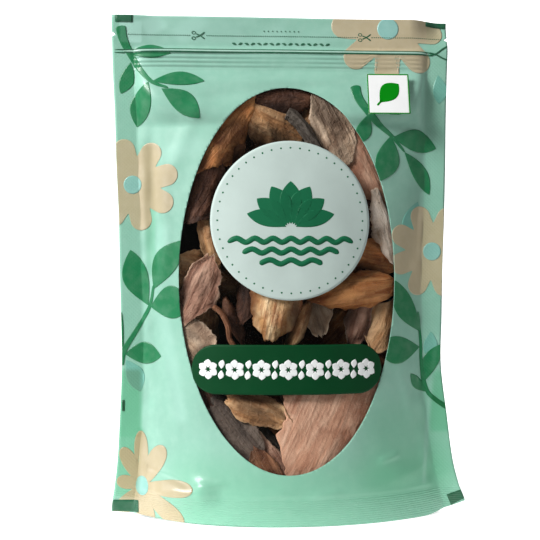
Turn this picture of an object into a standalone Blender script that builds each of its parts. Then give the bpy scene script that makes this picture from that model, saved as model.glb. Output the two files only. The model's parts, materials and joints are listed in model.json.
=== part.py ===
"""A stand-up zip pouch of printed film with a clear oval window, filled with dried lotus petals.

Metres, +Z up. The front faces -Y. The origin lies under the middle of the pouch, on the plane it stands on.
"""

import itertools
import math
import random

import bmesh
import bpy
from mathutils import Euler, Vector
from mathutils.bvhtree import BVHTree

MM = 0.001

# Pouch
HEIGHT = 230 * MM
HALF_WIDTH = 78 * MM
WAIST = 3.5 * MM  # how far each side edge is drawn in at mid height
CORNER_FLARE = 3.5 * MM  # how far each bottom corner splays out
FLARE_HEIGHT = 30 * MM
SEAL = 10 * MM  # side seal
FILM = 0.4 * MM
GAP = 0.3 * MM  # between touching pieces
BASE_DEPTH = 26 * MM  # from the middle plane to the front film at the bottom
BASE_WALL = 12 * MM  # the film rises straight this far
TAPER = 11 * MM  # how much of the depth is lost from the bottom wall to the zip
CORNER_LIFT = 3 * MM
CORNER_FROM = 0.7  # share of the half width where the corner lift starts
HEADER_FOLD = 216.5 * MM  # above this the two films lie flat
NOTCH_HEIGHT = 221.5 * MM
NOTCH_DEPTH = 2.5 * MM

# Zip
ZIP_LOW = 205 * MM
ZIP_HIGH = 213 * MM
ZIP_DEPTH = 2.8 * MM
ZIP_HALF_LENGTH = 58 * MM

# Window and labels: middle x, middle z, half width, half height
WINDOW = (0.2 * MM, 109.2 * MM, 49.2 * MM, 86.8 * MM)
CUTTER_DEPTH = 60 * MM
NOTCH_CUTTER_DEPTH = 20 * MM
NOTCH_SLOPE = 0.6

# The swell's section: its exponent over the filling and along the zip, where it starts to
# flatten, over what height, and how late the swell closes towards the zip
FULLNESS = (2.2, 24.0)
FLATTENING = (178 * MM, 25 * MM)
CLOSING_POWER = 10
ROUND_LABEL = (1.1 * MM, 134.8 * MM, 35.8 * MM, 35.8 * MM)
NAME_LABEL = (-0.3 * MM, 68.5 * MM, 42.7 * MM, 11 * MM)
SQUARE_LABEL = (46.5 * MM, 193.2 * MM, 9.6 * MM, 9.6 * MM)
LABEL = 0.2 * MM
LABEL_CORNER = 0.4 * MM  # on the square label

# Gusset
GUSSET_FILM = 0.3 * MM
GUSSET_HALF = 61 * MM
GUSSET_SKIRT = (0.6 * MM, 10 * MM)
GUSSET_RIDGE = (18 * MM, 44 * MM)  # height of its fold in the middle and at its ends

# Filling
PETAL = 0.5 * MM
PETAL_CELLS = (6, 3)
CLEARANCE = 0.35 * MM
STEP_BACK = 0.5 * MM
PETAL_SHRINKS = (1, 0.88, 0.76, 0.64)  # tried in turn until a petal finds room
FILL_TOP = 200 * MM
FILL_COLUMNS = (-36, -12, 12, 36)
FILL_ROWS = (46, 78, 110, 142, 174)
FILL_GAPS = ((0, 147), (27, 190), (-3, 64), (-48, 122), (22, 128), (-38, 188), (46, 150), (-6, 122))
FILL_JITTER = 6
MOST_PETALS = 49
FILL_TRIES = 60
SEED = 11

ACROSS = (-1, -0.93, -0.82, -0.68, -0.52, -0.35, -0.175, 0, 0.175, 0.35, 0.52, 0.68, 0.82, 0.93, 1)
ROWS = [z * MM for z in (0, 12, 32, 54, 76, 98, 120, 142, 160, 174, 185, 193, 199, 205, 213)]
ROWS += [HEADER_FOLD, HEIGHT]

MINT = (0.46, 0.79, 0.66)
LABEL_GREEN = (0.004, 0.06, 0.02)
ZIP_COLOR = (0.62, 0.85, 0.76)
CLEAR = (0.93, 0.96, 0.95)
PALE = (0.70, 0.81, 0.76)
TONES = {
    "orange": (0.39, 0.14, 0.045),
    "tan": (0.39, 0.20, 0.085),
    "gold": (0.58, 0.33, 0.13),
    "cream": (0.77, 0.61, 0.48),
    "taupe": (0.35, 0.22, 0.14),
    "pink": (0.45, 0.22, 0.14),
    "rose": (0.32, 0.17, 0.12),
    "grey": (0.16, 0.12, 0.10),
    "ash": (0.11, 0.09, 0.07),
    "brown": (0.16, 0.06, 0.025),
    "dark": (0.10, 0.035, 0.018),
}

# Petals behind the window, front ones first: middle x and z, length, width (mm), direction of the tip
# (degrees from +X), pitch about the petal's width (degrees), cup, bend, twist (degrees), tone
FRONT_PETALS = (
    (-28.5, 173.5, 48, 17, 53, 4, 0.5, 0.10, 15, "orange"),
    (21.5, 48.5, 62, 46, 62, 2, 0.15, 0.10, 8, "pink"),
    (32.5, 103.5, 44, 17, 8, -5, 0.8, 0.22, 25, "orange"),
    (-5.5, 96.5, 32, 25, -100, 6, 0.6, 0.20, 12, "gold"),
    (-38.5, 104.5, 32, 17, 68, 3, 0.5, -0.15, 15, "rose"),
    (20.5, 174.5, 34, 17, -64, 5, 0.5, 0.10, 12, "taupe"),
    (33.5, 161.5, 48, 19, -62, -4, 0.5, 0.14, 12, "pink"),
    (44, 131.5, 34, 9, -74, 3, 0.9, 0.12, 35, "cream"),
    (-12.5, 51.5, 30, 13, -24, 5, 0.9, 0.15, 25, "tan"),
    (-22.5, 41.5, 36, 18, -50, -4, 0.4, 0.12, 10, "grey"),
    (-5.5, 177.5, 28, 17, -20, 8, 0.7, 0.12, 20, "tan"),
    (-14.5, 42.5, 48, 10, -43, 4, 0.8, 0.10, 30, "ash"),
    (-6.5, 31.5, 30, 9, -54, 0, 1.0, 0.20, 50, "rose"),
    (-40.5, 81.5, 30, 17, -48, -5, 0.4, 0.10, 10, "taupe"),
    (33.5, 89.5, 26, 12, -104, 8, 0.8, 0.22, 40, "rose"),
    (5.5, 87.5, 24, 8, -118, 5, 1.0, 0.30, 60, "tan"),
    (-36.5, 147.5, 32, 19, 66, 6, 0.9, -0.25, 25, "dark"),
    (-30.5, 160.5, 30, 14, 38, -4, 1.0, 0.12, 30, "brown"),
    (-34.5, 127.5, 26, 14, 98, 8, 1.1, 0.35, 30, "tan"),
    (-25.5, 89.5, 24, 7, -68, 0, 1.0, 0.30, 60, "brown"),
    (39.5, 118.5, 30, 18, -12, 10, 0.8, -0.22, 20, "orange"),
    (43.5, 88.5, 26, 17, 62, 4, 0.6, 0.12, 15, "tan"),
    (0.5, 189.5, 28, 13, 6, 5, 0.8, 0.15, 20, "dark"),
    (13.5, 187.5, 24, 13, -58, -4, 0.8, 0.15, 20, "brown"),
    (-15.5, 170.5, 34, 20, 36, -6, 0.5, 0.15, 12, "brown"),
    (-18.5, 100.5, 24, 11, 80, 8, 0.9, 0.15, 40, "dark"),
    (-9.5, 27.5, 22, 13, -60, 6, 0.6, 0.12, 20, "brown"),
    (33.5, 119.5, 34, 20, 48, -6, 0.6, 0.20, 15, "dark"),
)

# Stalks: tone, then points (mm) and the depth behind the film (mm)
STALKS = (
    ("ash", 3.0, 4.0, ((0, 184.5), (2.5, 183), (6.5, 178.5), (10.5, 172.5), (14, 166))),
    ("brown", 1.2, 3.4, ((-33.5, 96.5), (-29.5, 93), (-27, 87.5), (-26, 81.5), (-21.5, 75.5))),
)


def clear_scene():
    """Removes what the scene holds."""
    for obj in list(bpy.data.objects):
        bpy.data.objects.remove(obj, do_unlink=True)


def new_collection(name):
    """Makes a collection in the scene."""
    collection = bpy.data.collections.new(name)
    bpy.context.scene.collection.children.link(collection)
    return collection


def material(name, color, roughness, alpha=1.0):
    """A plain material, shared by name."""
    found = bpy.data.materials.get(name)
    if found:
        return found
    made = bpy.data.materials.new(name)
    made.use_nodes = True
    shader = made.node_tree.nodes["Principled BSDF"]
    shader.inputs["Base Color"].default_value = (*color, 1)
    shader.inputs["Roughness"].default_value = roughness
    shader.inputs["Metallic"].default_value = 0
    shader.inputs["Alpha"].default_value = alpha
    return made


def add_mesh(name, bm, collection, finish=None):
    """Turns a bmesh into an object."""
    mesh = bpy.data.meshes.new(name)
    bm.to_mesh(mesh)
    bm.free()
    obj = bpy.data.objects.new(name, mesh)
    collection.objects.link(obj)
    if finish:
        mesh.materials.append(finish)
    return obj


def face_outwards(bm):
    """Turns a closed bmesh's faces outwards, or an open one's all the same way."""
    bm.normal_update()
    bmesh.ops.recalc_face_normals(bm, faces=bm.faces)
    bm.normal_update()


def solidify(obj, thickness):
    """Gives an open sheet its thickness, half on each side."""
    wall = obj.modifiers.new("Wall", "SOLIDIFY")
    wall.thickness = thickness
    wall.offset = 0.0


def boolean(obj, cutter, operation):
    """Adds an exact Boolean to an object."""
    cut = obj.modifiers.new(cutter.name, "BOOLEAN")
    cut.operation = operation
    cut.solver = "EXACT"
    cut.object = cutter


def blend(start, end, share):
    """A value between two others."""
    return start + (end - start) * share


def ease(share):
    """Goes smoothly from 0 to 1."""
    share = min(max(share, 0.0), 1.0)
    return share * share * (3 - 2 * share)


def half_width(z):
    """Half the pouch's width at a height."""
    flare = CORNER_FLARE * max(1 - z / FLARE_HEIGHT, 0.0) ** 2
    return HALF_WIDTH + flare - WAIST * math.sin(math.pi * min(z / HEIGHT, 1.0))


def half_depth(z):
    """How far the filled pouch swells from the seals' plane in the middle of its width."""
    if z <= BASE_WALL:
        return BASE_DEPTH
    if z <= ZIP_LOW:
        share = (z - BASE_WALL) / (ZIP_LOW - BASE_WALL)
        closing = share**CLOSING_POWER
        return (BASE_DEPTH - TAPER * share) * (1 - closing) + ZIP_DEPTH * closing
    if z <= ZIP_HIGH:
        return ZIP_DEPTH
    return ZIP_DEPTH * (1 - ease((z - ZIP_HIGH) / (HEADER_FOLD - ZIP_HIGH)))


def fullness(z):
    """Exponent of the section's curve: a round swell over the filling, flat along the zip."""
    return blend(*FULLNESS, ease((z - FLATTENING[0]) / FLATTENING[1]))


def film_depth(x, z):
    """Distance of a film's middle surface from the pouch's middle plane."""
    inner = half_width(z) - SEAL
    across = min(abs(x) / inner, 1.0)
    return FILM / 2 + GAP / 2 + half_depth(z) * (1 - across ** fullness(z))


def corner_lift(x):
    """How far the bottom edge rises towards the corners."""
    return CORNER_LIFT * ease((abs(x) / HALF_WIDTH - CORNER_FROM) / (1 - CORNER_FROM))


def film_sheet(side, offset=0.0):
    """A bmesh of the front (side -1) or back (side 1) film, moved outwards by offset."""
    bm = bmesh.new()
    columns = len(ACROSS) + 1
    bmesh.ops.create_grid(bm, x_segments=columns, y_segments=len(ROWS) - 1, size=1)
    for vert in bm.verts:
        column = round((vert.co.x + 1) / 2 * columns)
        z = ROWS[round((vert.co.y + 1) / 2 * (len(ROWS) - 1))]
        if column in (0, columns):
            x = math.copysign(half_width(z), vert.co.x)
        else:
            x = ACROSS[column - 1] * (half_width(z) - SEAL)
        lift = corner_lift(x) * (1 - min(z / BASE_WALL, 1.0))
        vert.co = (x, side * film_depth(x, z), z + lift)
    bmesh.ops.triangulate(bm, faces=bm.faces, quad_method="FIXED")
    face_outwards(bm)
    if sum(face.normal.y * face.calc_area() for face in bm.faces) * side < 0:
        bmesh.ops.reverse_faces(bm, faces=bm.faces)
    bm.normal_update()
    moves = [(vert, vert.normal * offset) for vert in bm.verts]
    for vert, move in moves:
        vert.co += move
    return bm


def ellipse_cutter(name, place, shrink, cutters):
    """An upright elliptical prism through the front film."""
    x, z, wide, high = place
    bm = bmesh.new()
    bmesh.ops.create_cone(bm, cap_ends=True, segments=56, radius1=1, radius2=1, depth=CUTTER_DEPTH)
    for vert in bm.verts:
        across, up, along = vert.co
        vert.co = (x + across * (wide - shrink), along - CUTTER_DEPTH / 2, z + up * (high - shrink))
    face_outwards(bm)
    return as_cutter(add_mesh(name, bm, cutters))


def rounded_cutter(name, place, radius, cutters):
    """A prism with rounded corners through the front film."""
    x, z, wide, high = place
    bm = bmesh.new()
    bmesh.ops.create_cube(bm, size=2)
    for vert in bm.verts:
        vert.co = (x + vert.co.x * wide, (vert.co.y - 1) * CUTTER_DEPTH / 2, z + vert.co.z * high)
    edges = [e for e in bm.edges if abs(e.verts[0].co.y - e.verts[1].co.y) > CUTTER_DEPTH / 2]
    bmesh.ops.bevel(bm, geom=edges, offset=radius, segments=8, profile=0.5, affect="EDGES")
    face_outwards(bm)
    return as_cutter(add_mesh(name, bm, cutters))


def notch_cutter(name, side, cutters):
    """A three-sided prism that cuts a tear notch into a side edge."""
    bm = bmesh.new()
    bmesh.ops.create_cone(bm, cap_ends=True, segments=3, radius1=1, radius2=1, depth=NOTCH_CUTTER_DEPTH)
    edge = half_width(NOTCH_HEIGHT)
    for vert in bm.verts:
        out, up, along = -vert.co.y, vert.co.x, vert.co.z
        vert.co = (side * (edge + out * NOTCH_DEPTH), along, NOTCH_HEIGHT + up * NOTCH_DEPTH * NOTCH_SLOPE)
    face_outwards(bm)
    return as_cutter(add_mesh(name, bm, cutters))


def as_cutter(obj):
    """Marks an object as a tool that isn't part of the pouch."""
    obj.hide_render = True
    obj.display_type = "WIRE"
    return obj


def make_films(parts, cutters):
    """The printed front and back films, and the clear film in the front's opening."""
    print_finish = material("printed_film", MINT, 0.25)
    notches = [notch_cutter(f"notch_cutter_{side}", side, cutters) for side in (-1, 1)]

    front = add_mesh("front_panel", film_sheet(-1), parts, print_finish)
    solidify(front, FILM)
    boolean(front, ellipse_cutter("window_cutter", WINDOW, 0.0, cutters), "DIFFERENCE")

    back = add_mesh("back_panel", film_sheet(1), parts, print_finish)
    solidify(back, FILM)
    for panel in (front, back):
        for notch in notches:
            boolean(panel, notch, "DIFFERENCE")

    clear = material("window_film", CLEAR, 0.1, 0.25)
    window = add_mesh("window_film", film_sheet(-1), parts, clear)
    solidify(window, FILM)
    boolean(window, ellipse_cutter("window_shape", WINDOW, GAP, cutters), "INTERSECT")


def make_labels(parts, cutters):
    """The three stickers on the front."""
    white = material("label_paper", PALE, 0.5)
    green = material("label_green", LABEL_GREEN, 0.45)
    ends = NAME_LABEL[3] * 0.99
    shapes = (
        ("round_label", ellipse_cutter("round_label_shape", ROUND_LABEL, 0.0, cutters), white),
        ("name_label", rounded_cutter("name_label_shape", NAME_LABEL, ends, cutters), green),
        ("square_label", rounded_cutter("square_label_shape", SQUARE_LABEL, LABEL_CORNER, cutters), white),
    )
    for name, cutter, finish in shapes:
        label = add_mesh(name, film_sheet(-1, FILM / 2 + GAP + LABEL / 2), parts, finish)
        solidify(label, LABEL)
        boolean(label, cutter, "INTERSECT")


def gusset_half_gap(x):
    """Distance of the gusset's skirt from the middle plane."""
    return film_depth(x, BASE_WALL) - FILM / 2 - GAP - GUSSET_FILM / 2


def gusset_ridge(x):
    """Height of the gusset's fold."""
    return blend(GUSSET_RIDGE[0], GUSSET_RIDGE[1], (abs(x) / GUSSET_HALF) ** 2)


def gusset_height(x, y):
    """Height of the gusset's floor at a place between its skirts."""
    if abs(x) > GUSSET_HALF:
        return GUSSET_RIDGE[1]
    across = min(abs(y) / gusset_half_gap(x), 1.0)
    return blend(GUSSET_SKIRT[1], gusset_ridge(x), 1 - across**1.6)


def make_gusset(parts):
    """The folded bottom sheet: a skirt inside each film, and a floor that rises to a fold between them."""
    across = (-1, -1, -0.7, -0.35, 0, 0.35, 0.7, 1, 1)
    cells = (12, len(across) - 1)
    bm = bmesh.new()
    bmesh.ops.create_grid(bm, x_segments=cells[0], y_segments=cells[1], size=1)
    for vert in bm.verts:
        x = vert.co.x * GUSSET_HALF
        station = round((vert.co.y + 1) / 2 * cells[1])
        y = across[station] * gusset_half_gap(x)
        if station in (0, cells[1]):
            z = GUSSET_SKIRT[0] + corner_lift(x)
        else:
            z = gusset_height(x, y)
        vert.co = (x, y, z)
    face_outwards(bm)
    gusset = add_mesh("bottom_gusset", bm, parts, material("gusset_film", MINT, 0.25))
    solidify(gusset, GUSSET_FILM)


def zip_strip(name, outline, parts, finish):
    """A flat outline in the Y-Z plane, drawn out along the zip."""
    curve = bpy.data.curves.new(name, "CURVE")
    curve.dimensions = "2D"
    curve.fill_mode = "BOTH"
    curve.extrude = ZIP_HALF_LENGTH
    spline = curve.splines.new("POLY")
    spline.points.add(len(outline) - 1)
    for point, (y, z) in zip(spline.points, outline):
        point.co = (y * MM, z * MM, 0, 1)
    spline.use_cyclic_u = True
    strip = bpy.data.objects.new(name, curve)
    curve.materials.append(finish)
    strip.location = (0, 0, (ZIP_LOW + ZIP_HIGH) / 2)
    strip.rotation_euler = Euler((math.pi / 2, 0, math.pi / 2))
    parts.objects.link(strip)


def make_zip(parts):
    """A groove with two lipped jaws on the front film, and a headed rib on the back film."""
    finish = material("zip_plastic", ZIP_COLOR, 0.35)
    half = [(-2.05, 1.6), (0.1, 1.6), (0.1, 0.8), (-0.25, 0.8), (-0.25, 1.15), (-2.05, 1.15)]
    groove = [(-2.45, -4), (-2.45, 4), (-2.05, 4)] + half
    groove += [(y, -z) for y, z in reversed(half)] + [(-2.05, -4)]
    zip_strip("zip_groove_strip", groove, parts, finish)
    side = [(2.05, 0.3), (-0.7, 0.3), (-0.7, 0.75), (-1.65, 0.45)]
    rib = [(2.45, -4), (2.45, 4), (2.05, 4)] + side
    rib += [(y, -z) for y, z in reversed(side)] + [(2.05, -4)]
    zip_strip("zip_rib_strip", rib, parts, finish)


def petal_width(along):
    """Half width of a petal as a share of its widest, from its narrow foot (0) to its tip (1)."""
    return 0.35 + 0.65 * math.sin(math.pi * along**1.1) ** 0.6 - 0.12 * along


def petal_sheet(length, width, cup, bend, twist, tilt):
    """An open bmesh of a dried petal: along X, across Y, its face to +Z."""
    bm = bmesh.new()
    bmesh.ops.create_grid(bm, x_segments=PETAL_CELLS[0], y_segments=PETAL_CELLS[1], size=1)
    for vert in bm.verts:
        along = (vert.co.x + 1) / 2
        across = vert.co.y * petal_width(along) * width / 2
        turn = twist * (along - 0.5)
        rise = -cup * across * across / width * 2
        arch = -bend * length * (2 * along - 1) ** 2 / 2
        vert.co = (
            length * (along - 0.5),
            across * math.cos(turn) - rise * math.sin(turn),
            across * math.sin(turn) + rise * math.cos(turn) + arch,
        )
    bmesh.ops.rotate(bm, verts=bm.verts, cent=(0, 0, 0), matrix=Euler((0, tilt, 0)).to_matrix())
    return bm


def film_frame(x, z, heading):
    """Unit vectors along, across and out of the front film at a place, turned by a heading."""
    small = 1 * MM
    along_x = Vector((2 * small, film_depth(x - small, z) - film_depth(x + small, z), 0)).normalized()
    along_z = Vector((0, film_depth(x, z - small) - film_depth(x, z + small), 2 * small)).normalized()
    out = along_x.cross(along_z).normalized()
    first = (along_x * math.cos(heading) + along_z * math.sin(heading)).normalized()
    return first, out.cross(first).normalized(), out


def place_sheet(bm, x, z, heading):
    """Turns a petal from its own axes to lie along the front film at a place."""
    first, second, out = film_frame(x, z, heading)
    for vert in bm.verts:
        local = vert.co.copy()
        vert.co = Vector((x, 0, z)) + first * local.x + second * local.y + out * local.z
    bm.normal_update()


def room_ahead(point):
    """How far a point may still move to the front before it meets the front film."""
    return point.y + film_depth(point.x, point.z) - FILM / 2 - CLEARANCE - PETAL


def fits(bm):
    """Whether a petal lies inside the films, under the zip and above the gusset."""
    for vert in bm.verts:
        x, y, z = vert.co
        if abs(x) > half_width(z) - SEAL - 2 * MM or z > FILL_TOP:
            return False
        if abs(y) > film_depth(x, z) - FILM / 2 - CLEARANCE - PETAL / 2:
            return False
        if z < gusset_height(x, y) + 2 * MM:
            return False
    return True


def thick_tree(bm):
    """A search tree of a petal's two faces, as thick as the petal and the room it keeps."""
    half = PETAL / 2 + CLEARANCE
    bm.verts.index_update()
    points = [v.co + v.normal * half for v in bm.verts]
    points += [v.co - v.normal * half for v in bm.verts]
    count = len(bm.verts)
    faces = [[v.index for v in face.verts] for face in bm.faces]
    faces += [[index + count for index in face] for face in faces]
    for edge in bm.edges:
        if edge.is_boundary:
            first, second = (vert.index for vert in edge.verts)
            faces.append([first, second, second + count, first + count])
    return BVHTree.FromPolygons(points, faces)


def settle(bm, placed, start):
    """Moves a petal back from the window until it is clear of the others. Returns whether it found room."""
    forward = min(room_ahead(vert.co) for vert in bm.verts)
    bmesh.ops.translate(bm, verts=bm.verts, vec=(0, start - forward, 0))
    while fits(bm):
        tree = thick_tree(bm)
        if not any(tree.overlap(other) for other in placed):
            placed.append(tree)
            return True
        bmesh.ops.translate(bm, verts=bm.verts, vec=(0, STEP_BACK, 0))
    return False


def make_stalks(parts, placed):
    """Short dried stalks among the petals, right behind the window."""
    for number, (tone, radius, behind, route) in enumerate(STALKS, 1):
        curve = bpy.data.curves.new(f"stalk_{number:02d}", "CURVE")
        curve.dimensions = "3D"
        curve.bevel_depth = radius * MM
        curve.bevel_resolution = 2
        curve.use_fill_caps = True
        spline = curve.splines.new("POLY")
        spline.points.add(len(route) - 1)
        for point, (x, z) in zip(spline.points, route):
            x, z = x * MM, z * MM
            point.co = (x, behind * MM - film_depth(x, z), z, 1)
        stalk = bpy.data.objects.new(curve.name, curve)
        curve.materials.append(material(f"stalk_{tone}", TONES[tone], 0.8))
        parts.objects.link(stalk)
        bpy.context.view_layer.update()
        graph = bpy.context.evaluated_depsgraph_get()
        mesh = stalk.evaluated_get(graph).to_mesh()
        points = [vert.co.copy() for vert in mesh.vertices]
        placed.append(BVHTree.FromPolygons(points, [list(face.vertices) for face in mesh.polygons]))
        stalk.evaluated_get(graph).to_mesh_clear()


def add_petal(bm, number, tone, parts):
    """Makes a placed petal a solid piece."""
    petal = add_mesh(f"petal_{number:02d}", bm, parts, material(f"petal_{tone}", TONES[tone], 0.75))
    solidify(petal, PETAL)


def make_front_petals(parts, placed):
    """The petals that show in the window. Returns how many there are."""
    for number, petal in enumerate(FRONT_PETALS, 1):
        x, z, length, width, heading, pitch, cup, bend, twist, tone = petal
        turns = (math.radians(twist), math.radians(pitch))
        for share in PETAL_SHRINKS:
            scale = share * MM
            bm = petal_sheet(length * scale, width * scale, cup, bend, *turns)
            place_sheet(bm, x * MM, z * MM, math.radians(heading))
            if settle(bm, placed, 0.0):
                break
            bm.free()
        else:
            raise ValueError(f"no room for the {tone} petal at {x}, {z}")
        add_petal(bm, number, tone, parts)
    return len(FRONT_PETALS)


def make_filling(parts, placed, number):
    """Larger petals behind the front ones, on a loose grid, then smaller ones in its gaps."""
    rng = random.Random(SEED)
    places = [(column, row, 52) for column, row in itertools.product(FILL_COLUMNS, FILL_ROWS)]
    places += [(x, z, 40) for x, z in FILL_GAPS]
    for column, row, size in places:
        for attempt in range(FILL_TRIES):
            x = (column + rng.uniform(-FILL_JITTER, FILL_JITTER)) * MM
            z = (row + rng.uniform(-FILL_JITTER, FILL_JITTER)) * MM
            length = (size + rng.uniform(-6, 6)) * MM * (1 - 0.4 * attempt / FILL_TRIES)
            width = length * rng.uniform(0.45, 0.62)
            shape = (rng.uniform(0.1, 0.5), rng.uniform(-0.08, 0.12), rng.uniform(-0.35, 0.35))
            bm = petal_sheet(length, width, *shape, rng.uniform(-0.15, 0.15))
            place_sheet(bm, x, z, rng.uniform(-math.pi, math.pi))
            tone = rng.choice(("tan", "rose", "brown", "taupe", "orange", "pink"))
            if number < MOST_PETALS and settle(bm, placed, rng.uniform(2, 8) * MM):
                number += 1
                add_petal(bm, number, tone, parts)
                break
            bm.free()


def main():
    """Builds the pouch and its filling."""
    clear_scene()
    parts = new_collection("pouch_of_dried_lotus_petals")
    cutters = new_collection("cutters")
    make_films(parts, cutters)
    make_labels(parts, cutters)
    make_gusset(parts)
    make_zip(parts)
    placed = []
    make_stalks(parts, placed)
    number = make_front_petals(parts, placed)
    make_filling(parts, placed, number)


if __name__ == "__main__":
    main()
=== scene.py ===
"""Looks of a stand-up zip pouch of dried lotus petals: printed films with a clear oval window,
stickers with plain ornaments, the folded bottom, and petals and stalks behind the window.

Metres, +Z up. The front faces -Y. The sheets are modelled flat in X and Z, trimmed, and then
laid on the pouch's swelling, so that films, print and stickers all follow one surface.
"""

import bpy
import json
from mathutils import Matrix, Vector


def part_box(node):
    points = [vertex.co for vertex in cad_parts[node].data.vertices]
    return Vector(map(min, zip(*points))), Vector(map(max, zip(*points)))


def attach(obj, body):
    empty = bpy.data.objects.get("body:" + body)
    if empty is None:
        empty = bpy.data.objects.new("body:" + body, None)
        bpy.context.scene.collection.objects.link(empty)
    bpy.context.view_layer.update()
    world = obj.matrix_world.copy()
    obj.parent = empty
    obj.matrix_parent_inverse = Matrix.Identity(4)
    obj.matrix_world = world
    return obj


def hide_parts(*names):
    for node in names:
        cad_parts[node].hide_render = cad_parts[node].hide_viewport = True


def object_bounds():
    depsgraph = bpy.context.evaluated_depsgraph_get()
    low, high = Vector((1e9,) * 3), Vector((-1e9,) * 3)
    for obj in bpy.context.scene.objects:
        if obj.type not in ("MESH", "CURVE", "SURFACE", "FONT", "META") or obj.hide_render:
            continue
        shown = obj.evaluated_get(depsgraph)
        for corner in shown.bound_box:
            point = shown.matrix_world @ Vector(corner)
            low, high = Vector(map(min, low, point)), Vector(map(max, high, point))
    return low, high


bl_info = {
    "name": "Pouch of Dried Lotus Petals",
    "version": (1, 0, 0),
    "blender": (4, 5, 0),
    "location": "View3D > Sidebar > Pouch",
    "description": "Builds the films, print, stickers, filling and stage of a stand-up zip pouch",
    "category": "Object",
}

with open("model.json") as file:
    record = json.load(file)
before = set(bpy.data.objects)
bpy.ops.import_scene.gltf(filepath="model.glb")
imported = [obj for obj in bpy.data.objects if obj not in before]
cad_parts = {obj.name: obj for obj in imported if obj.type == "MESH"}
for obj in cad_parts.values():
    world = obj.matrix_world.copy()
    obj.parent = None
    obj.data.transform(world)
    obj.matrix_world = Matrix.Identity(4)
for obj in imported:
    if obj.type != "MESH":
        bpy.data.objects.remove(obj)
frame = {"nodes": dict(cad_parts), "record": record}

import json
import math
import random

import bmesh
import bpy
import numpy as np
from bpy.props import FloatProperty, FloatVectorProperty, IntProperty, PointerProperty
from mathutils import Vector, noise

MM = 0.001
CAD_BOX = [list(corner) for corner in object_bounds()]

# The pouch's swelling, in the measures that its frame has
HEIGHT = CAD_BOX[1][2]
HALF_WIDTH = 78 * MM
# Distances of the left and right edges from the middle (mm), from the bottom to the top
EDGES = {
    -1: (80.1, 77.5, 76.2, 75.4, 75.8, 76.4, 76.9, 78.0, 78.7, 79.8, 80.2),
    1: (84.3, 78.5, 75.4, 72.7, 73.1, 73.5, 74.3, 74.9, 75.2, 75.8, 76.8),
}
SEAL = 10 * MM
BAND = 11.7 * MM  # bottom seal
BASE_DEPTH = 26 * MM
BASE_WALL = 12 * MM
TAPER = 11 * MM
CORNER_LIFT = {-1: 2.2 * MM, 1: 5 * MM}
CORNER_FROM = {-1: 0.45, 1: 0.75}
HEADER_FOLD = 216.5 * MM
ZIP_LOW = 205 * MM
ZIP_HIGH = 213 * MM
ZIP_DEPTH = 2.8 * MM
ZIP_RIB = 0.15 * MM
ZIP_PITCH = 2.0 * MM
FILM_WALL = 0.18 * MM
SEAM = 0.14 * MM  # from the middle plane to a film's middle along the seals
NOTCH = (221.3 * MM, 1.8 * MM, 1.1 * MM)  # height, depth and half height of the tear notches
PRINT_LIFT = 0.17 * MM
PRINT_WALL = 0.03 * MM
PRINT_CELL = 0.5 * MM
PETAL_CELL = 0.7 * MM
GUSSET_HALF = 61 * MM
GUSSET_SKIRT = (0.6 * MM, 10 * MM)
GUSSET_RIDGE = (18 * MM, 44 * MM)
GUSSET_WALL = 0.25 * MM


def middle(node):
    """Middle x and z of a CAD node, and its half width and half height."""
    low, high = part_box(node)
    return (low.x + high.x) / 2, (low.z + high.z) / 2, (high.x - low.x) / 2, (high.z - low.z) / 2


WINDOW = middle("window_film")
WINDOW = (WINDOW[0], WINDOW[1], WINDOW[2] + 0.3 * MM, WINDOW[3] + 0.3 * MM)
ROUND_LABEL = middle("round_label")
NAME_LABEL = middle("name_label")
SQUARE_LABEL = middle("square_label")

# Soft folds of the front film: from x, z to x, z (mm), half width (mm), height (mm)
FRONT_FOLDS = (
    (-64, 60, -62, 20, 3.5, -0.7),
    (-60, 11.5, -36, 14.5, 6.3, 3.9),
    (-62, 23, -44, 17, 2.2, -1.1),
    (-40, 17, -29, 18.5, 1.8, 0.8),
    (-61.5, 168, -61, 112, 2.6, -1.2),
    (-56, 150, -55, 118, 3.0, 0.6),
    (-52, 160, -38, 192, 4.0, 0.5),
    (-46, 190, 2, 196, 3.5, -0.6),
    (-30, 200, 48, 199, 2.5, 0.5),
    (8, 196, 50, 203, 3.0, -0.5),
    (66, 60, 69, 14, 3.2, -0.9),
    (62, 62, 65, 20, 2.6, 0.6),
    (58, 118, 64, 150, 3.5, -0.6),
    (60, 176, 63, 200, 3.0, 0.7),
    (42, 27, 50, 29, 1.6, 0.7),
    (20, 14, 62, 22, 4.0, 0.5),
    (-20, 12.5, 0, 15, 2.2, 0.5),
    (10, 13, 22, 14.5, 1.6, 0.5),
    (-50, 44, -56, 72, 2.4, 0.5),
    (52, 70, 58, 46, 3.0, 0.5),
    (-61, 92, -59, 70, 2.2, -0.5),
)
BACK_FOLDS = (
    (-50, 30, 30, 60, 5.0, 0.8),
    (20, 90, 55, 120, 5.0, -0.7),
    (-56, 150, -10, 170, 4.5, 0.7),
    (-30, 196, 40, 201, 3.0, -0.6),
    (58, 20, 50, 70, 4.0, 0.7),
    (-62, 70, -58, 20, 3.0, -0.7),
)

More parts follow.
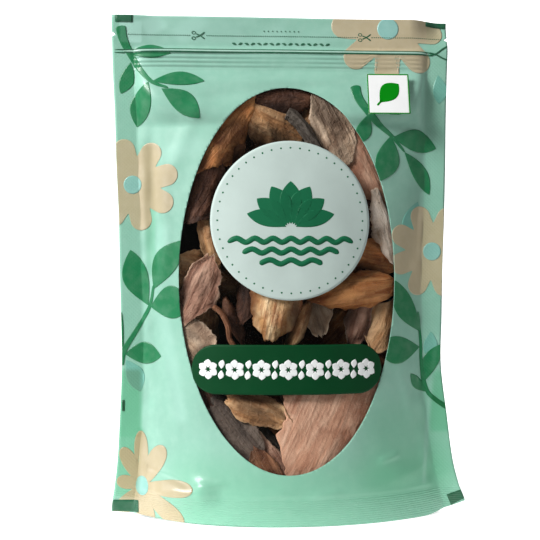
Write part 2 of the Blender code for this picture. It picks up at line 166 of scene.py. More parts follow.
# Paler (above zero) and greener (below zero) areas of the front film. Below zero they are painted shade: the
# seals, the valley beside the left seal, the bottom and the lower right. Above zero they are partly pale print
# patches in the header and partly painted highlights in strips beside the seals and along folds. Columns: middle
# x, z, half sizes (mm), turn (degrees), width of the soft edge (mm), amount
TINTS_AND_PAINTED_LIGHT = (
    (-71.5, 52, 5, 15, 0, 3, -1.0),
    (-72, 24, 5.5, 16, -4, 2.5, -0.75),
    (72.5, 52, 4.5, 14, 0, 3, -0.85),
    (67, 48, 1.0, 34, -6, 1.5, 0.35),
    (56, 32, 22, 20, 0, 22, -0.45),
    (15, 10, 66, 18, 0, 24, -0.5),
    (-36, 223, 36, 6, 0, 5, 0.35),
    (-62.5, 140, 2.4, 30, 2, 2.5, -0.55),
    (-71.5, 222.5, 4.8, 4.6, 0, 0.8, 0.8),
    (-61, 226, 5, 4, 30, 3, 0.5),
    (-44, 225, 8, 4, 40, 5, 0.35),
    (-12, 226, 9, 3, 25, 4, -0.2),
    (18, 222, 16, 4, 12, 6, 0.2),
    (-58, 119, 3.0, 14, -8, 4, 0.3),
    (-52, 70, 2.6, 26, 10, 4, 0.35),
    (-47, 168, 9, 4, 20, 6, 0.3),
    (58, 205, 10, 6, -10, 6, 0.2),
)

# Printed leaves: base x, z, tip x, z, width (mm), and how far some are bent
LEAVES = (
    (-73.2, 212.2, -53, 212.4, 6.4),
    (-71.5, 208.5, -76, 194, 6.8),
    (-61.5, 198.5, -37.5, 199, 6.8),
    (-63, 198.5, -68.5, 178.5, 10, -0.04),
    (-57, 195, -39.5, 181.5, 10),
    (37.6, 184.2, 31.4, 170, 7.4),
    (48, 174.5, 42.4, 153.3, 11.6),
    (49, 173.8, 70.5, 169.6, 10.3),
    (54.6, 167.3, 67.3, 148.0, 7.7),
    (47, 184, 56.4, 187, 4),
    (-63, 96.5, -71.5, 122, 12),
    (-60.5, 104, -47.5, 126, 11.5),
    (-62, 96, -43.5, 98, 15),
    (-74, 74.2, -57, 73.4, 10),
    (-74.5, 76, -75.5, 93.5, 3),
    (63, 84, 49.5, 108, 10),
    (62.5, 77, 40, 77.8, 12.7),
    (63.5, 59.5, 73.5, 78.5, 7.5),
    (66, 56, 57.5, 65, 5),
)

# Printed stems: half width at the start and at the end, then points (mm)
STEMS = (
    (2.5, 0.5, ((-76, 225), (-75, 219.5), (-72.5, 214), (-67.5, 205.5), (-61.5, 198.5), (-54, 195.5))),
    (2.5, 0.5, ((31.5, 197.5), (33, 191), (37.8, 184), (43.6, 178.4), (48.8, 174), (54.8, 167.2))),
    (0.5, 1.6, ((-60.5, 106), (-62.5, 96), (-68.5, 85.5), (-74.5, 75.5), (-76, 69))),
    (0.6, 1.2, ((61.5, 93.5), (63, 80), (63.5, 67.5), (66, 57), (70, 52.5), (76, 48.5))),
)

# Printed flowers: middle x, z, reach, half petal width (mm), first petal's direction (degrees),
# petals, radius of the disc (mm)
FLOWERS = (
    (48, 225.5, 26.6, 5.8, -3, 8, 5.0),
    (-70.5, 152, 21.5, 5.0, 14, 8, 4.2),
    (68.5, 121.5, 22, 5.0, 20, 8, 4.2),
)

# The bottom corner's flower: its middle x, z, radii of its disc, then each petal's direction
# (degrees), reach and half width (mm)
CORNER_FLOWER = (-65.8, 14.2, 3.1, 4.4, (
    (119, 19.5, 4.4), (92, 24.8, 4.2), (62, 21.5, 5.1), (3, 23.5, 4.6), (-40, 25, 5.6), (-82, 22, 5.6),
    (-128, 20, 5.0), (170, 12, 4.0),
))

# Faint leaves: base x, z, tip x, z, width (mm)
FAINT_LEAVES = (
    (71.5, 204, 72, 190.5, 7),
    (-73.5, 71.5, -67, 57, 8.5),
    (56.5, 121.5, 61.5, 144.5, 9),
    (70, 68, 68, 84, 7),
)

# Corner marks: middle x, z, half width, half height (mm), turn (degrees)
CORNER_MARKS = (
    (-74.5, 228.4, 4.0, 1.8, 0),
    (71.5, 229.3, 5.2, 1.9, -3),
    (-73.5, 3.6, 6.2, 3.1, 2),
    (80, 4.6, 3.5, 3.6, 17),
    (-74.7, 50.5, 0.6, 2.5, 0),
)

# Stalks: tone, radius, depth behind the film, then x and z of their route (mm)
STALKS = (
    ("stalk_01", "ash", 3.0, 4.0, ((0, 184.5), (2.5, 183), (6.5, 178.5), (10.5, 172.5), (14, 166))),
    ("stalk_02", "brown", 1.2, 3.4, ((-33.5, 96.5), (-29.5, 93), (-27, 87.5), (-26, 81.5), (-21.5, 75.5))),
)

# Petal tones: main colour, dark blotches, light fibres, and the rim's colour, all linear; the light colour also
# serves as painted highlight on crests, and a darkened copy of the dark one as painted shade in hollows
TONES = {
    "orange": ((0.54, 0.18, 0.05), (0.19, 0.05, 0.013), (0.80, 0.38, 0.14), (0.62, 0.28, 0.10)),
    "tan": ((0.60, 0.30, 0.125), (0.23, 0.09, 0.032), (0.84, 0.54, 0.29), (0.70, 0.42, 0.22)),
    "gold": ((0.72, 0.39, 0.155), (0.36, 0.12, 0.04), (0.92, 0.66, 0.38), (0.50, 0.18, 0.07)),
    "cream": ((0.76, 0.60, 0.46), (0.50, 0.31, 0.19), (0.92, 0.80, 0.68), (0.60, 0.38, 0.24)),
    "taupe": ((0.60, 0.41, 0.27), (0.27, 0.15, 0.09), (0.84, 0.64, 0.46), (0.80, 0.62, 0.45)),
    "pink": ((0.62, 0.32, 0.20), (0.36, 0.145, 0.08), (0.78, 0.48, 0.33), (0.66, 0.35, 0.22)),
    "rose": ((0.40, 0.20, 0.13), (0.16, 0.06, 0.035), (0.62, 0.38, 0.27), (0.64, 0.46, 0.31)),
    "grey": ((0.093, 0.065, 0.05), (0.037, 0.025, 0.019), (0.167, 0.124, 0.096), (0.149, 0.099, 0.071)),
    "ash": ((0.071, 0.056, 0.043), (0.031, 0.022, 0.017), (0.136, 0.112, 0.09), (0.118, 0.087, 0.068)),
    "brown": ((0.16, 0.06, 0.026), (0.06, 0.02, 0.01), (0.33, 0.15, 0.075), (0.27, 0.12, 0.06)),
    "dark": ((0.09, 0.034, 0.018), (0.03, 0.011, 0.006), (0.20, 0.085, 0.045), (0.17, 0.08, 0.045)),
}


# Settings

class PouchFilmSettings(bpy.types.PropertyGroup):
    """Colours and surface of the printed films."""

    mint: FloatVectorProperty(
        name="Film", description="Colour of the film", subtype="COLOR", size=3, default=(0.30, 0.58, 0.455)
    )
    # near black: painted shade for the gaps seen through the window
    inside: FloatVectorProperty(
        name="Inside", description="Colour of the film's inner face",
        subtype="COLOR", size=3, default=(0.012, 0.009, 0.007)
    )
    roughness: FloatProperty(
        name="Roughness", description="Roughness of the film", default=0.4, min=0, max=1, subtype="FACTOR"
    )
    lumps: FloatProperty(
        name="Lumps", description="Height of the swellings over the filling",
        default=0.55 * MM, min=0, max=3 * MM, unit="LENGTH"
    )
    cell: FloatProperty(
        name="Cell", description="Size of a film's mesh cells",
        default=1.0 * MM, min=0.5 * MM, max=5 * MM, unit="LENGTH"
    )


class PouchPrintSettings(bpy.types.PropertyGroup):
    """Colours of the print and the stickers."""

    leaf: FloatVectorProperty(
        name="Leaf", description="Colour of leaves and stems", subtype="COLOR", size=3,
        default=(0.011, 0.205, 0.075)
    )
    flower: FloatVectorProperty(
        name="Flower", description="Colour of the printed flowers", subtype="COLOR", size=3,
        default=(0.55, 0.465, 0.30)
    )
    disc: FloatVectorProperty(
        name="Disc", description="Colour of the flowers' middles", subtype="COLOR", size=3,
        default=(0.29, 0.57, 0.51)
    )
    line: FloatVectorProperty(
        name="Line", description="Colour of the fine lines and corner marks", subtype="COLOR", size=3,
        default=(0.012, 0.12, 0.055)
    )
    faint: FloatVectorProperty(
        name="Faint leaf", description="Colour of the faint leaves", subtype="COLOR", size=3,
        default=(0.19, 0.49, 0.40)
    )
    sticker: FloatVectorProperty(
        name="Sticker", description="Colour of the round sticker", subtype="COLOR", size=3,
        default=(0.56, 0.67, 0.625)
    )
    badge: FloatVectorProperty(
        name="Badge", description="Colour of the long sticker", subtype="COLOR", size=3,
        default=(0.002, 0.056, 0.016)
    )


class PouchFillingSettings(bpy.types.PropertyGroup):
    """Shape of the dried petals."""

    crumple: FloatProperty(
        name="Crumple", description="Height of the petals' crumples",
        default=1.5 * MM, min=0, max=4 * MM, unit="LENGTH"
    )
    pleat: FloatProperty(
        name="Pleat", description="Height of the lengthwise pleats",
        default=0.22 * MM, min=0, max=2 * MM, unit="LENGTH"
    )
    wall: FloatProperty(
        name="Thickness", description="Thickness of a petal",
        default=0.3 * MM, min=0.05 * MM, max=2 * MM, unit="LENGTH"
    )
    seed: IntProperty(name="Seed", description="Start of the random draws", default=5, min=0)


class PouchStageSettings(bpy.types.PropertyGroup):
    """Floor, light and camera."""

    floor: FloatVectorProperty(
        name="Floor", description="Colour of the floor", subtype="COLOR", size=3, default=(0.9, 0.9, 0.9)
    )
    key_power: FloatProperty(name="Key light", description="Power of the main light", default=22.5, unit="POWER")
    fill_power: FloatProperty(name="Fill light", description="Power of the fill light", default=0.4, unit="POWER")
    glow: FloatProperty(name="Backdrop glow", description="How far the backdrop is lit up", default=0.7, min=0)
    sky: FloatProperty(name="Sky", description="Strength of the white surroundings", default=0.2, min=0)
    lens: FloatProperty(name="Lens", description="Focal length (mm)", default=67.8, unit="CAMERA")


# Small helpers

def blend(start, end, share):
    """A value between two others."""
    return start + (end - start) * share


def ease(share):
    """Goes smoothly from 0 to 1."""
    share = min(max(share, 0.0), 1.0)
    return share * share * (3 - 2 * share)


def flat_sheet(columns, rows):
    """A flat bmesh of quads, from 0 to 1 in X and in Z."""
    bm = bmesh.new()
    bmesh.ops.create_grid(bm, x_segments=columns, y_segments=rows, size=1)
    for vert in bm.verts:
        vert.co = ((vert.co.x + 1) / 2, 0, (vert.co.y + 1) / 2)
    return bm


def trim(bm, keep):
    """Cuts a flat sheet where keep(x, z) crosses zero, and deletes the part below zero."""
    value = {vert: keep(vert.co.x, vert.co.z) for vert in bm.verts}
    if min(value.values()) > 0:
        return
    cuts = set()
    for edge in list(bm.edges):
        first, second = edge.verts
        if (value[first] > 0) == (value[second] > 0):
            continue
        start, end = first.co.copy(), second.co.copy()
        low, high = 0.0, 1.0
        for _ in range(10):
            share = (low + high) / 2
            point = start.lerp(end, share)
            if (keep(point.x, point.z) > 0) == (value[first] > 0):
                low = share
            else:
                high = share
        cuts.add(bmesh.utils.edge_split(edge, first, (low + high) / 2)[1])
    for face in list(bm.faces):
        ends = [vert for vert in face.verts if vert in cuts]
        if len(ends) == 2:
            bmesh.utils.face_split(face, ends[0], ends[1])
    gone = []
    for face in bm.faces:
        centre = face.calc_center_median()
        if keep(centre.x, centre.z) <= 0:
            gone.append(face)
    bmesh.ops.delete(bm, geom=gone, context="FACES")


def new_object(name, bm, *materials):
    """Turns a bmesh into a smooth-shaded piece of the scene."""
    mesh = bpy.data.meshes.new(name)
    bm.to_mesh(mesh)
    bm.free()
    mesh.shade_smooth()
    for made in materials:
        mesh.materials.append(made)
    obj = bpy.data.objects.new(name, mesh)
    bpy.context.scene.collection.objects.link(obj)
    return obj


def add_wall(obj, thickness, offset=0.0, inner=0):
    """Gives an open sheet its thickness; inner faces may take the second material."""
    wall = obj.modifiers.new("Wall", "SOLIDIFY")
    wall.thickness = thickness
    wall.offset = offset
    wall.use_even_offset = False
    wall.material_offset = inner
    return obj


def face_to(bm, side):
    """Turns an open sheet's faces to the front (side -1) or back (side 1)."""
    bm.normal_update()
    bmesh.ops.recalc_face_normals(bm, faces=bm.faces)
    if sum(face.normal.y * face.calc_area() for face in bm.faces) * side < 0:
        bmesh.ops.reverse_faces(bm, faces=bm.faces)
    bm.normal_update()


def join(target, source):
    """Adds one bmesh's geometry to another."""
    holder = bpy.data.meshes.new("holder")
    source.to_mesh(holder)
    source.free()
    target.from_mesh(holder)
    bpy.data.meshes.remove(holder)


# The pouch's surface

def edge_at(sign, z):
    """Distance of a side edge from the middle at a height."""
    points = [(value,) for value in EDGES[sign]]
    return smooth_route(points, min(max(z / HEIGHT, 0.0), 1.0))[0] * MM


def half_depth(z):
    """How far the filled pouch swells from the seals' plane in the middle of its width."""
    if z <= BASE_WALL:
        return BASE_DEPTH
    if z <= ZIP_LOW:
        share = (z - BASE_WALL) / (ZIP_LOW - BASE_WALL)
        closing = share**10
        return (BASE_DEPTH - TAPER * share) * (1 - closing) + ZIP_DEPTH * closing
    if z <= ZIP_HIGH:
        return ZIP_DEPTH
    return ZIP_DEPTH * (1 - ease((z - ZIP_HIGH) / (HEADER_FOLD - ZIP_HIGH)))


def fullness(z):
    """Exponent of the section's curve: a round swell over the filling, flat along the zip."""
    return blend(2.2, 24.0, ease((z - 178 * MM) / (25 * MM)))


def fold_height(folds, x, z):
    """Sum of the listed folds at a place."""
    total = 0.0
    for x1, z1, x2, z2, half, height in folds:
        run_x, run_z = (x2 - x1) * MM, (z2 - z1) * MM
        length_2 = run_x * run_x + run_z * run_z
        along = ((x - x1 * MM) * run_x + (z - z1 * MM) * run_z) / length_2
        if not -0.3 < along < 1.3:
            continue
        away = abs((x - x1 * MM) * run_z - (z - z1 * MM) * run_x) / math.sqrt(length_2) / (half * MM)
        if away < 2.5:
            fade = ease((along + 0.3) / 0.5) * ease((1.3 - along) / 0.5)
            total += height * MM * math.exp(-away * away) * fade
    return total


def relief(side, x, z, inside):
    """Outward relief of a film: lumps over the filling, folds, puckers and the zip's ribs."""
    lumps = bpy.context.scene.pouch_film.lumps
    open_share = ease(inside / (9 * MM))
    low = ease((z - BASE_WALL) / (6 * MM)) * ease((ZIP_LOW - 2 * MM - z) / (8 * MM))
    swell = noise.noise((x * 38, z * 30, side * 3.1)) + 0.4 * noise.noise((x * 95, z * 80, side * 7.7))
    total = lumps * swell * open_share * low
    pucker = math.sin(z / (3.4 * MM) + 3 * noise.noise((z * 40, side, x * 5)))
    total += 0.28 * MM * pucker * math.exp(-((inside - 3 * MM) / (3.4 * MM)) ** 2) * low
    total += fold_height(FRONT_FOLDS if side < 0 else BACK_FOLDS, x, z) * ease(inside / (3 * MM))
    if ZIP_LOW - MM < z < ZIP_HIGH + MM and inside > 0:
        ribs = math.cos((z - ZIP_LOW) / ZIP_PITCH * 2 * math.pi)
        edge = ease((z - ZIP_LOW + MM) / MM) * ease((ZIP_HIGH + MM - z) / MM)
        total += ZIP_RIB * ribs * edge * (1 + 1.2 * noise.noise((x * 45, z * 50, 2)))
        total += 0.35 * MM * noise.noise((x * 55, z * 20, 9)) * edge
    if z < BAND + 2 * MM:
        total -= 0.35 * MM * math.exp(-((z - BAND) / (0.7 * MM)) ** 2) * ease(inside / (6 * MM))
    return total


def sway(x, z):
    """How far both films are bent to the back together, along the header and the seals."""
    total = 0.5 * MM * noise.noise((x * 22, z * 22, 5.0))
    total += 0.9 * MM * math.sin(x / (21 * MM)) * ease((z - HEADER_FOLD) / (14 * MM))
    total += 7 * MM * ease((x - 58 * MM) / (16 * MM)) * ease((z - 214 * MM) / (15 * MM))
    total -= 2.5 * MM * ease((-x - 55 * MM) / (20 * MM)) * ease((z - 214 * MM) / (15 * MM))
    total += 1.2 * MM * ease((x - 66 * MM) / (10 * MM)) * ease((20 * MM - z) / (20 * MM))
    return total


def corner_lift(x):
    """How far the bottom edge rises towards a corner."""
    sign = 1 if x > 0 else -1
    start = CORNER_FROM[sign]
    return CORNER_LIFT[sign] * max((abs(x) / edge_at(sign, 0) - start) / (1 - start), 0.0) ** 1.6


def film_place(side, x, z):
    """A point of a film's middle surface above a flat place."""
    sign = 1 if x > 0 else -1
    inner = edge_at(sign, z) - SEAL
    across = min(abs(x) / inner, 1.0)
    depth = SEAM + half_depth(z) * (1 - across ** fullness(z))
    inside = inner - abs(x)
    if inside > 0:
        depth = max(depth + relief(side, x, z, inside), SEAM)
    lift = corner_lift(x)
    return Vector((x, side * depth + sway(x, z), z + lift * (1 - min(z / BASE_WALL, 1.0))))


def film_point(side, x, z, out):
    """A point out metres above a film's middle surface."""
    place = film_place(side, x, z)
    if out:
        step = 0.4 * MM
        across = film_place(side, x + step, z) - place
        up = film_place(side, x, z + step) - place
        normal = across.cross(up).normalized()
        place += normal * (out if normal.y * side > 0 else -out)
    return place


def lay(bm, side, out):
    """Lays a flat sheet on a film, marks its seals, and turns its faces outwards."""
    seal = bm.verts.layers.float.new("seal")
    band = bm.verts.layers.float.new("band")
    tint_and_painted_light = bm.verts.layers.float.new("tint_and_painted_light")
    for vert in bm.verts:
        x, z = vert.co.x, vert.co.z
        # painted shade and painted highlights, with pale print patches, on the front film only
        vert[tint_and_painted_light] = tint_and_painted_light_at(x / MM, z / MM) if side < 0 else 0.0
        inside = edge_at(1 if x > 0 else -1, z) - SEAL - abs(x)
        vert[seal] = 1 - ease(inside / (0.8 * MM) + 0.5)
        vert[band] = 1 - ease((z - BAND) / (0.8 * MM) + 0.5)
        vert.co = film_point(side, x, z, out)
    face_to(bm, side)


def tint_and_painted_light_at(x, z):
    """How far the film is paler (above zero) and greener (below zero) at a place (mm): below zero is painted
    shade, above zero is partly pale print and partly painted highlight.
    """
    total = 0.0
    for middle_x, middle_z, half_x, half_z, turn, soft, amount in TINTS_AND_PAINTED_LIGHT:
        cosine, sine = math.cos(math.radians(turn)), math.sin(math.radians(turn))
        along = abs((x - middle_x) * cosine + (z - middle_z) * sine)
        over = abs((z - middle_z) * cosine - (x - middle_x) * sine)
        total += amount * ease((half_x - along) / soft + 0.5) * ease((half_z - over) / soft + 0.5)
    return total


def rim_share(x, z):
    """Distance from the window's middle as a share of the way to its rim."""
    return math.hypot((x - WINDOW[0]) / WINDOW[2], (z - WINDOW[1]) / WINDOW[3])


def outside_window(x, z):
    """Above zero outside the window."""
    return rim_share(x, z) - 1


def within_edges(x, z):
    """Above zero inside the film's outline and outside its tear notches."""
    edge = edge_at(1 if x > 0 else -1, z)
    height, deep, half = NOTCH
    notch = abs(x) - (edge - deep * (1 - abs(z - height) / half))
    gap = min(edge - 0.1 * MM - abs(x), z - 0.05 * MM, HEIGHT - 0.05 * MM - z)
    return min(gap, -notch) if abs(z - height) < half else gap


# Materials

def add_node(tree, kind, **values):
    """A shader node with its settings and unlinked inputs."""
    made = tree.nodes.new(kind)
    for name, value in values.items():
        if name in made.inputs:
            made.inputs[name].default_value = value
        else:
            setattr(made, name, value)
    return made


def new_material(name, **values):
    """A material and its tree and shader, with the shader's plain inputs set."""
    made = bpy.data.materials.new(name)
    made.use_nodes = True
    tree = made.node_tree
    shader = tree.nodes["Principled BSDF"]
    for socket, value in values.items():
        shader.inputs[socket.replace("_", " ")].default_value = value
    return made, tree, shader


def mix_colors(tree, share, first, second):
    """A colour between two others, which may be colours or sockets."""
    made = tree.nodes.new("ShaderNodeMix")
    made.data_type = "RGBA"
    for index, value in ((0, share), (6, first), (7, second)):
        if isinstance(value, bpy.types.NodeSocket):
            tree.links.new(value, made.inputs[index])
        else:
            made.inputs[index].default_value = (*value, 1) if index else value
    return made.outputs[2]


def calculate(tree, operation, first, second=0.0):
    """One step of arithmetic on sockets or numbers."""
    made = tree.nodes.new("ShaderNodeMath")
    made.operation = operation
    for index, value in ((0, first), (1, second)):
        if isinstance(value, bpy.types.NodeSocket):
            tree.links.new(value, made.inputs[index])
        else:
            made.inputs[index].default_value = value
    return made.outputs[0]


def spread(tree, value, low, high, to_low=0.0, to_high=1.0):
    """Maps a range of values to another."""
    made = add_node(tree, "ShaderNodeMapRange")
    tree.links.new(value, made.inputs[0])
    for index, number in enumerate((low, high, to_low, to_high), 1):
        made.inputs[index].default_value = number
    return made.outputs[0]


def object_noise(tree, scale, detail=3.0, stretch=(1, 1, 1)):
    """Noise on the object's own coordinates."""
    where = add_node(tree, "ShaderNodeTexCoord").outputs["Object"]
    mapping = add_node(tree, "ShaderNodeMapping", Scale=stretch)
    made = add_node(tree, "ShaderNodeTexNoise", Scale=scale, Detail=detail)
    tree.links.new(where, mapping.inputs["Vector"])
    tree.links.new(mapping.outputs[0], made.inputs["Vector"])
    return made.outputs["Fac"]


def object_bands(tree, scale, turn):
    """Fine parallel bands across the XZ plane, turned about Y."""
    where = add_node(tree, "ShaderNodeTexCoord").outputs["Object"]
    mapping = add_node(tree, "ShaderNodeMapping", Rotation=(0, turn, 0))
    made = add_node(tree, "ShaderNodeTexWave", Scale=scale)
    tree.links.new(where, mapping.inputs["Vector"])
    tree.links.new(mapping.outputs[0], made.inputs["Vector"])
    return made.outputs["Fac"]


def add_bump(tree, shader, height, distance, strength=1.0):
    """Bumps a shader by a height."""
    bump = add_node(tree, "ShaderNodeBump", Strength=strength, Distance=distance)
    tree.links.new(height, bump.inputs["Height"])
    tree.links.new(bump.outputs[0], shader.inputs["Normal"])


def film_material(name, color, green=(0.5, 0.8, 0.62), white=0.45):
    """Gloss laminate with a faint mottle, embossed where sealed, with painted shade (greener) and pale print
    patches and painted highlights (paler) in places.
    """
    rough = bpy.context.scene.pouch_film.roughness
    made, tree, shader = new_material(name, Coat_Weight=0.2, Coat_Roughness=0.13, Specular_IOR_Level=0.35)
    link = tree.links.new
    color = tuple(color)
    deep = tuple(channel * 0.86 for channel in color)
    pale = tuple(channel + (1 - channel) * 0.1 for channel in color)
    cloud = spread(tree, object_noise(tree, 28), 0.35, 0.7)
    fine = spread(tree, object_noise(tree, 260, 5), 0.4, 0.7)
    tone = mix_colors(tree, cloud, color, deep)
    tone = mix_colors(tree, calculate(tree, "MULTIPLY", fine, 0.35), tone, pale)
    seal = add_node(tree, "ShaderNodeAttribute", attribute_name="seal").outputs["Fac"]
    band = add_node(tree, "ShaderNodeAttribute", attribute_name="band").outputs["Fac"]
    rich = tuple(channel * share for channel, share in zip(color, (0.72, 0.88, 0.78)))
    tone = mix_colors(tree, calculate(tree, "MULTIPLY", seal, 0.3), tone, rich)
    tint_and_painted_light = add_node(tree, "ShaderNodeAttribute", attribute_name="tint_and_painted_light").outputs["Fac"]
    green = tuple(channel * share for channel, share in zip(color, green))
    white = tuple(blend(channel, top, white) for channel, top in zip(color, (0.60, 0.92, 0.82)))
    # painted shade: greener and darker where the attribute is below zero
    tone = mix_colors(tree, calculate(tree, "MAXIMUM", calculate(tree, "MULTIPLY", tint_and_painted_light, -1)), tone, green)
    # paler where it is above zero: pale print patches and painted highlights
    tone = mix_colors(tree, calculate(tree, "MAXIMUM", tint_and_painted_light), tone, white)
    link(tone, shader.inputs["Base Color"])
    gloss = spread(tree, object_noise(tree, 60, 4), 0.3, 0.7, rough * 0.75, rough * 1.3)
    link(gloss, shader.inputs["Roughness"])
    hatch = calculate(tree, "MULTIPLY", object_bands(tree, 262, 0.785), object_bands(tree, 262, -0.785))
    hatch = calculate(tree, "MULTIPLY", hatch, 0.35)
    ribs = object_bands(tree, 330, 1.5708)
    height = calculate(tree, "ADD", calculate(tree, "MULTIPLY", seal, hatch),
                       calculate(tree, "MULTIPLY", band, ribs))
    height = calculate(tree, "ADD", height, calculate(tree, "MULTIPLY", fine, 0.12))
    add_bump(tree, shader, height, 0.22 * MM, 0.55)
    return made


def inner_shade_material():
    """The inside of the films, painted near black as shade for the gaps seen through the window."""
    made, tree, shader = new_material("film_inside_painted_shade", Roughness=0.7, Specular_IOR_Level=0.1)
    dark = tuple(bpy.context.scene.pouch_film.inside)
    tone = mix_colors(tree, object_noise(tree, 90), dark, tuple(channel * 2.2 for channel in dark))
    tree.links.new(tone, shader.inputs["Base Color"])
    return made


def window_material():
    """Clear film with a trace of haze."""
    made, tree, shader = new_material("clear_film", Alpha=0.04, Base_Color=(0.02, 0.021, 0.02, 1))
    haze = spread(tree, object_noise(tree, 45), 0.3, 0.7, 0.04, 0.14)
    tree.links.new(haze, shader.inputs["Roughness"])
    return made


def paper_material(name, color, roughness=0.45, mottle=0.04):
    """Smooth matt paper or flat print."""
    made, tree, shader = new_material(name, Specular_IOR_Level=0.12)
    color = tuple(color)
    other = tuple(channel * (1 - mottle * 2) for channel in color)
    share = spread(tree, object_noise(tree, 55, 4), 0.35, 0.7)
    tree.links.new(mix_colors(tree, share, color, other), shader.inputs["Base Color"])
    gloss = spread(tree, object_noise(tree, 200, 3), 0.3, 0.7, roughness * 0.85, roughness * 1.15)
    tree.links.new(gloss, shader.inputs["Roughness"])
    add_bump(tree, shader, object_noise(tree, 1800, 2), 0.02 * MM, 0.4)
    return made


def plastic_material(name, color):
    """Milky moulded plastic with drawing lines along it."""
    made, tree, shader = new_material(name, IOR=1.47, Subsurface_Weight=0.1, Subsurface_Scale=2 * MM)
    streaks = object_noise(tree, 500, 3, (0.05, 1, 1))
    tone = mix_colors(tree, streaks, color, tuple(channel * 0.85 for channel in color))
    tree.links.new(tone, shader.inputs["Base Color"])
    tree.links.new(spread(tree, streaks, 0.3, 0.7, 0.3, 0.42), shader.inputs["Roughness"])
    add_bump(tree, shader, streaks, 0.05 * MM, 0.4)
    return made


def petal_material(name, tone):
    """Dried petal: fibres along its length, blotches, fine wrinkles and a different rim, with painted shade in
    hollows and far behind the window, and painted highlights on crests.
    """
    body, dark, light, rim = TONES[tone]
    made, tree, shader = new_material(name, Specular_IOR_Level=0.2)
    link = tree.links.new
    where = add_node(tree, "ShaderNodeUVMap", uv_map="length").outputs["UV"]

    def fibre(scale, stretch, detail):
        mapping = add_node(tree, "ShaderNodeMapping", Scale=stretch)
        texture = add_node(tree, "ShaderNodeTexNoise", Scale=scale, Detail=detail, Distortion=0.6)
        link(where, mapping.inputs["Vector"])
        link(mapping.outputs[0], texture.inputs["Vector"])
        return texture.outputs["Fac"]

    fine = fibre(900, (0.08, 1, 1), 6)
    broad = fibre(260, (0.2, 1, 1), 5)
    blotch = fibre(110, (0.6, 1, 1), 4)
    crackle = fibre(520, (0.8, 1, 1), 8)
    color = mix_colors(tree, spread(tree, broad, 0.4, 0.66), body, light)
    color = mix_colors(tree, spread(tree, blotch, 0.47, 0.68, 0, 0.85), color, dark)
    color = mix_colors(tree, spread(tree, fine, 0.5, 0.72, 0, 0.7), color, dark)
    color = mix_colors(tree, spread(tree, crackle, 0.56, 0.74, 0, 0.6), color, light)
    edge = add_node(tree, "ShaderNodeAttribute", attribute_name="rim").outputs["Fac"]
    edge = calculate(tree, "MULTIPLY", edge, spread(tree, broad, 0.3, 0.7, 0.2, 1.0))
    color = mix_colors(tree, edge, color, rim)
    # painted highlight: crests of the crumples lightened towards the light colour
    crest_light = add_node(tree, "ShaderNodeAttribute", attribute_name="crest_light").outputs["Fac"]
    color = mix_colors(tree, calculate(tree, "MULTIPLY", crest_light, 0.7), color, light)
    # painted shade: hollows of the crumples darkened towards black
    hollow_shade = add_node(tree, "ShaderNodeAttribute", attribute_name="hollow_shade").outputs["Fac"]
    hollow_shade_color = tuple(channel * 0.25 for channel in dark)
    color = mix_colors(tree, calculate(tree, "MULTIPLY", hollow_shade, 0.8), color, hollow_shade_color)
    # painted shade: petals far behind the film are darkened to near black and lose their gloss
    deep = add_node(tree, "ShaderNodeAttribute", attribute_name="deep").outputs["Fac"]
    color = mix_colors(tree, calculate(tree, "MULTIPLY", deep, 0.93), color, (0.004, 0.002, 0.0015))
    link(color, shader.inputs["Base Color"])
    link(spread(tree, deep, 0, 1, 0.25, 0.0), shader.inputs["Specular IOR Level"])
    link(spread(tree, blotch, 0.3, 0.7, 0.5, 0.75), shader.inputs["Roughness"])
    height = calculate(tree, "ADD", broad, calculate(tree, "MULTIPLY", fine, 0.7))
    height = calculate(tree, "ADD", height, crackle)
    add_bump(tree, shader, height, (0.5 if tone == "pink" else 1.0) * MM, 1.0)
    return made


def shared(name, maker, *values):
    """A material made once and then found by its name."""
    return bpy.data.materials.get(name) or maker(name, *values)


# Flat shapes of the print

def leaf_width(along):
    """Half width of a leaf as a share of its widest, from its base (0) to its tip (1)."""
    return math.sin(math.pi * along**1.15) ** 0.85 if 0 < along < 1 else 0.0


def leaf_shape(x1, z1, x2, z2, width, bend=0.06):
    """A flat pointed leaf from its base to its tip."""
    run = Vector((x2 - x1, 0, z2 - z1)) * MM
    cross = Vector((-run.z, 0, run.x))
    cells = max(int(run.length / PRINT_CELL), 8)
    bm = flat_sheet(cells, max(int(width * MM / PRINT_CELL), 4))
    for vert in bm.verts:
        along, across = vert.co.x, vert.co.z * 2 - 1
        middle_line = Vector((x1, 0, z1)) * MM + run * along + cross * bend * math.sin(math.pi * along)
        vert.co = middle_line + cross.normalized() * across * leaf_width(along) * width * MM / 2
    bmesh.ops.remove_doubles(bm, verts=bm.verts, dist=0.02 * MM)
    return bm


def smooth_route(points, share):
    """A point on a smooth curve through the given ones."""
    place = share * (len(points) - 1)
    index = min(int(place), len(points) - 2)
    t = place - index
    before, after = points[max(index - 1, 0)], points[min(index + 2, len(points) - 1)]
    here, there = points[index], points[index + 1]
    result = []
    for p0, p1, p2, p3 in zip(before, here, there, after):
        result.append(0.5 * (2 * p1 + (p2 - p0) * t + (2 * p0 - 5 * p1 + 4 * p2 - p3) * t * t
                             + (3 * p1 - p0 - 3 * p2 + p3) * t**3))
    return result


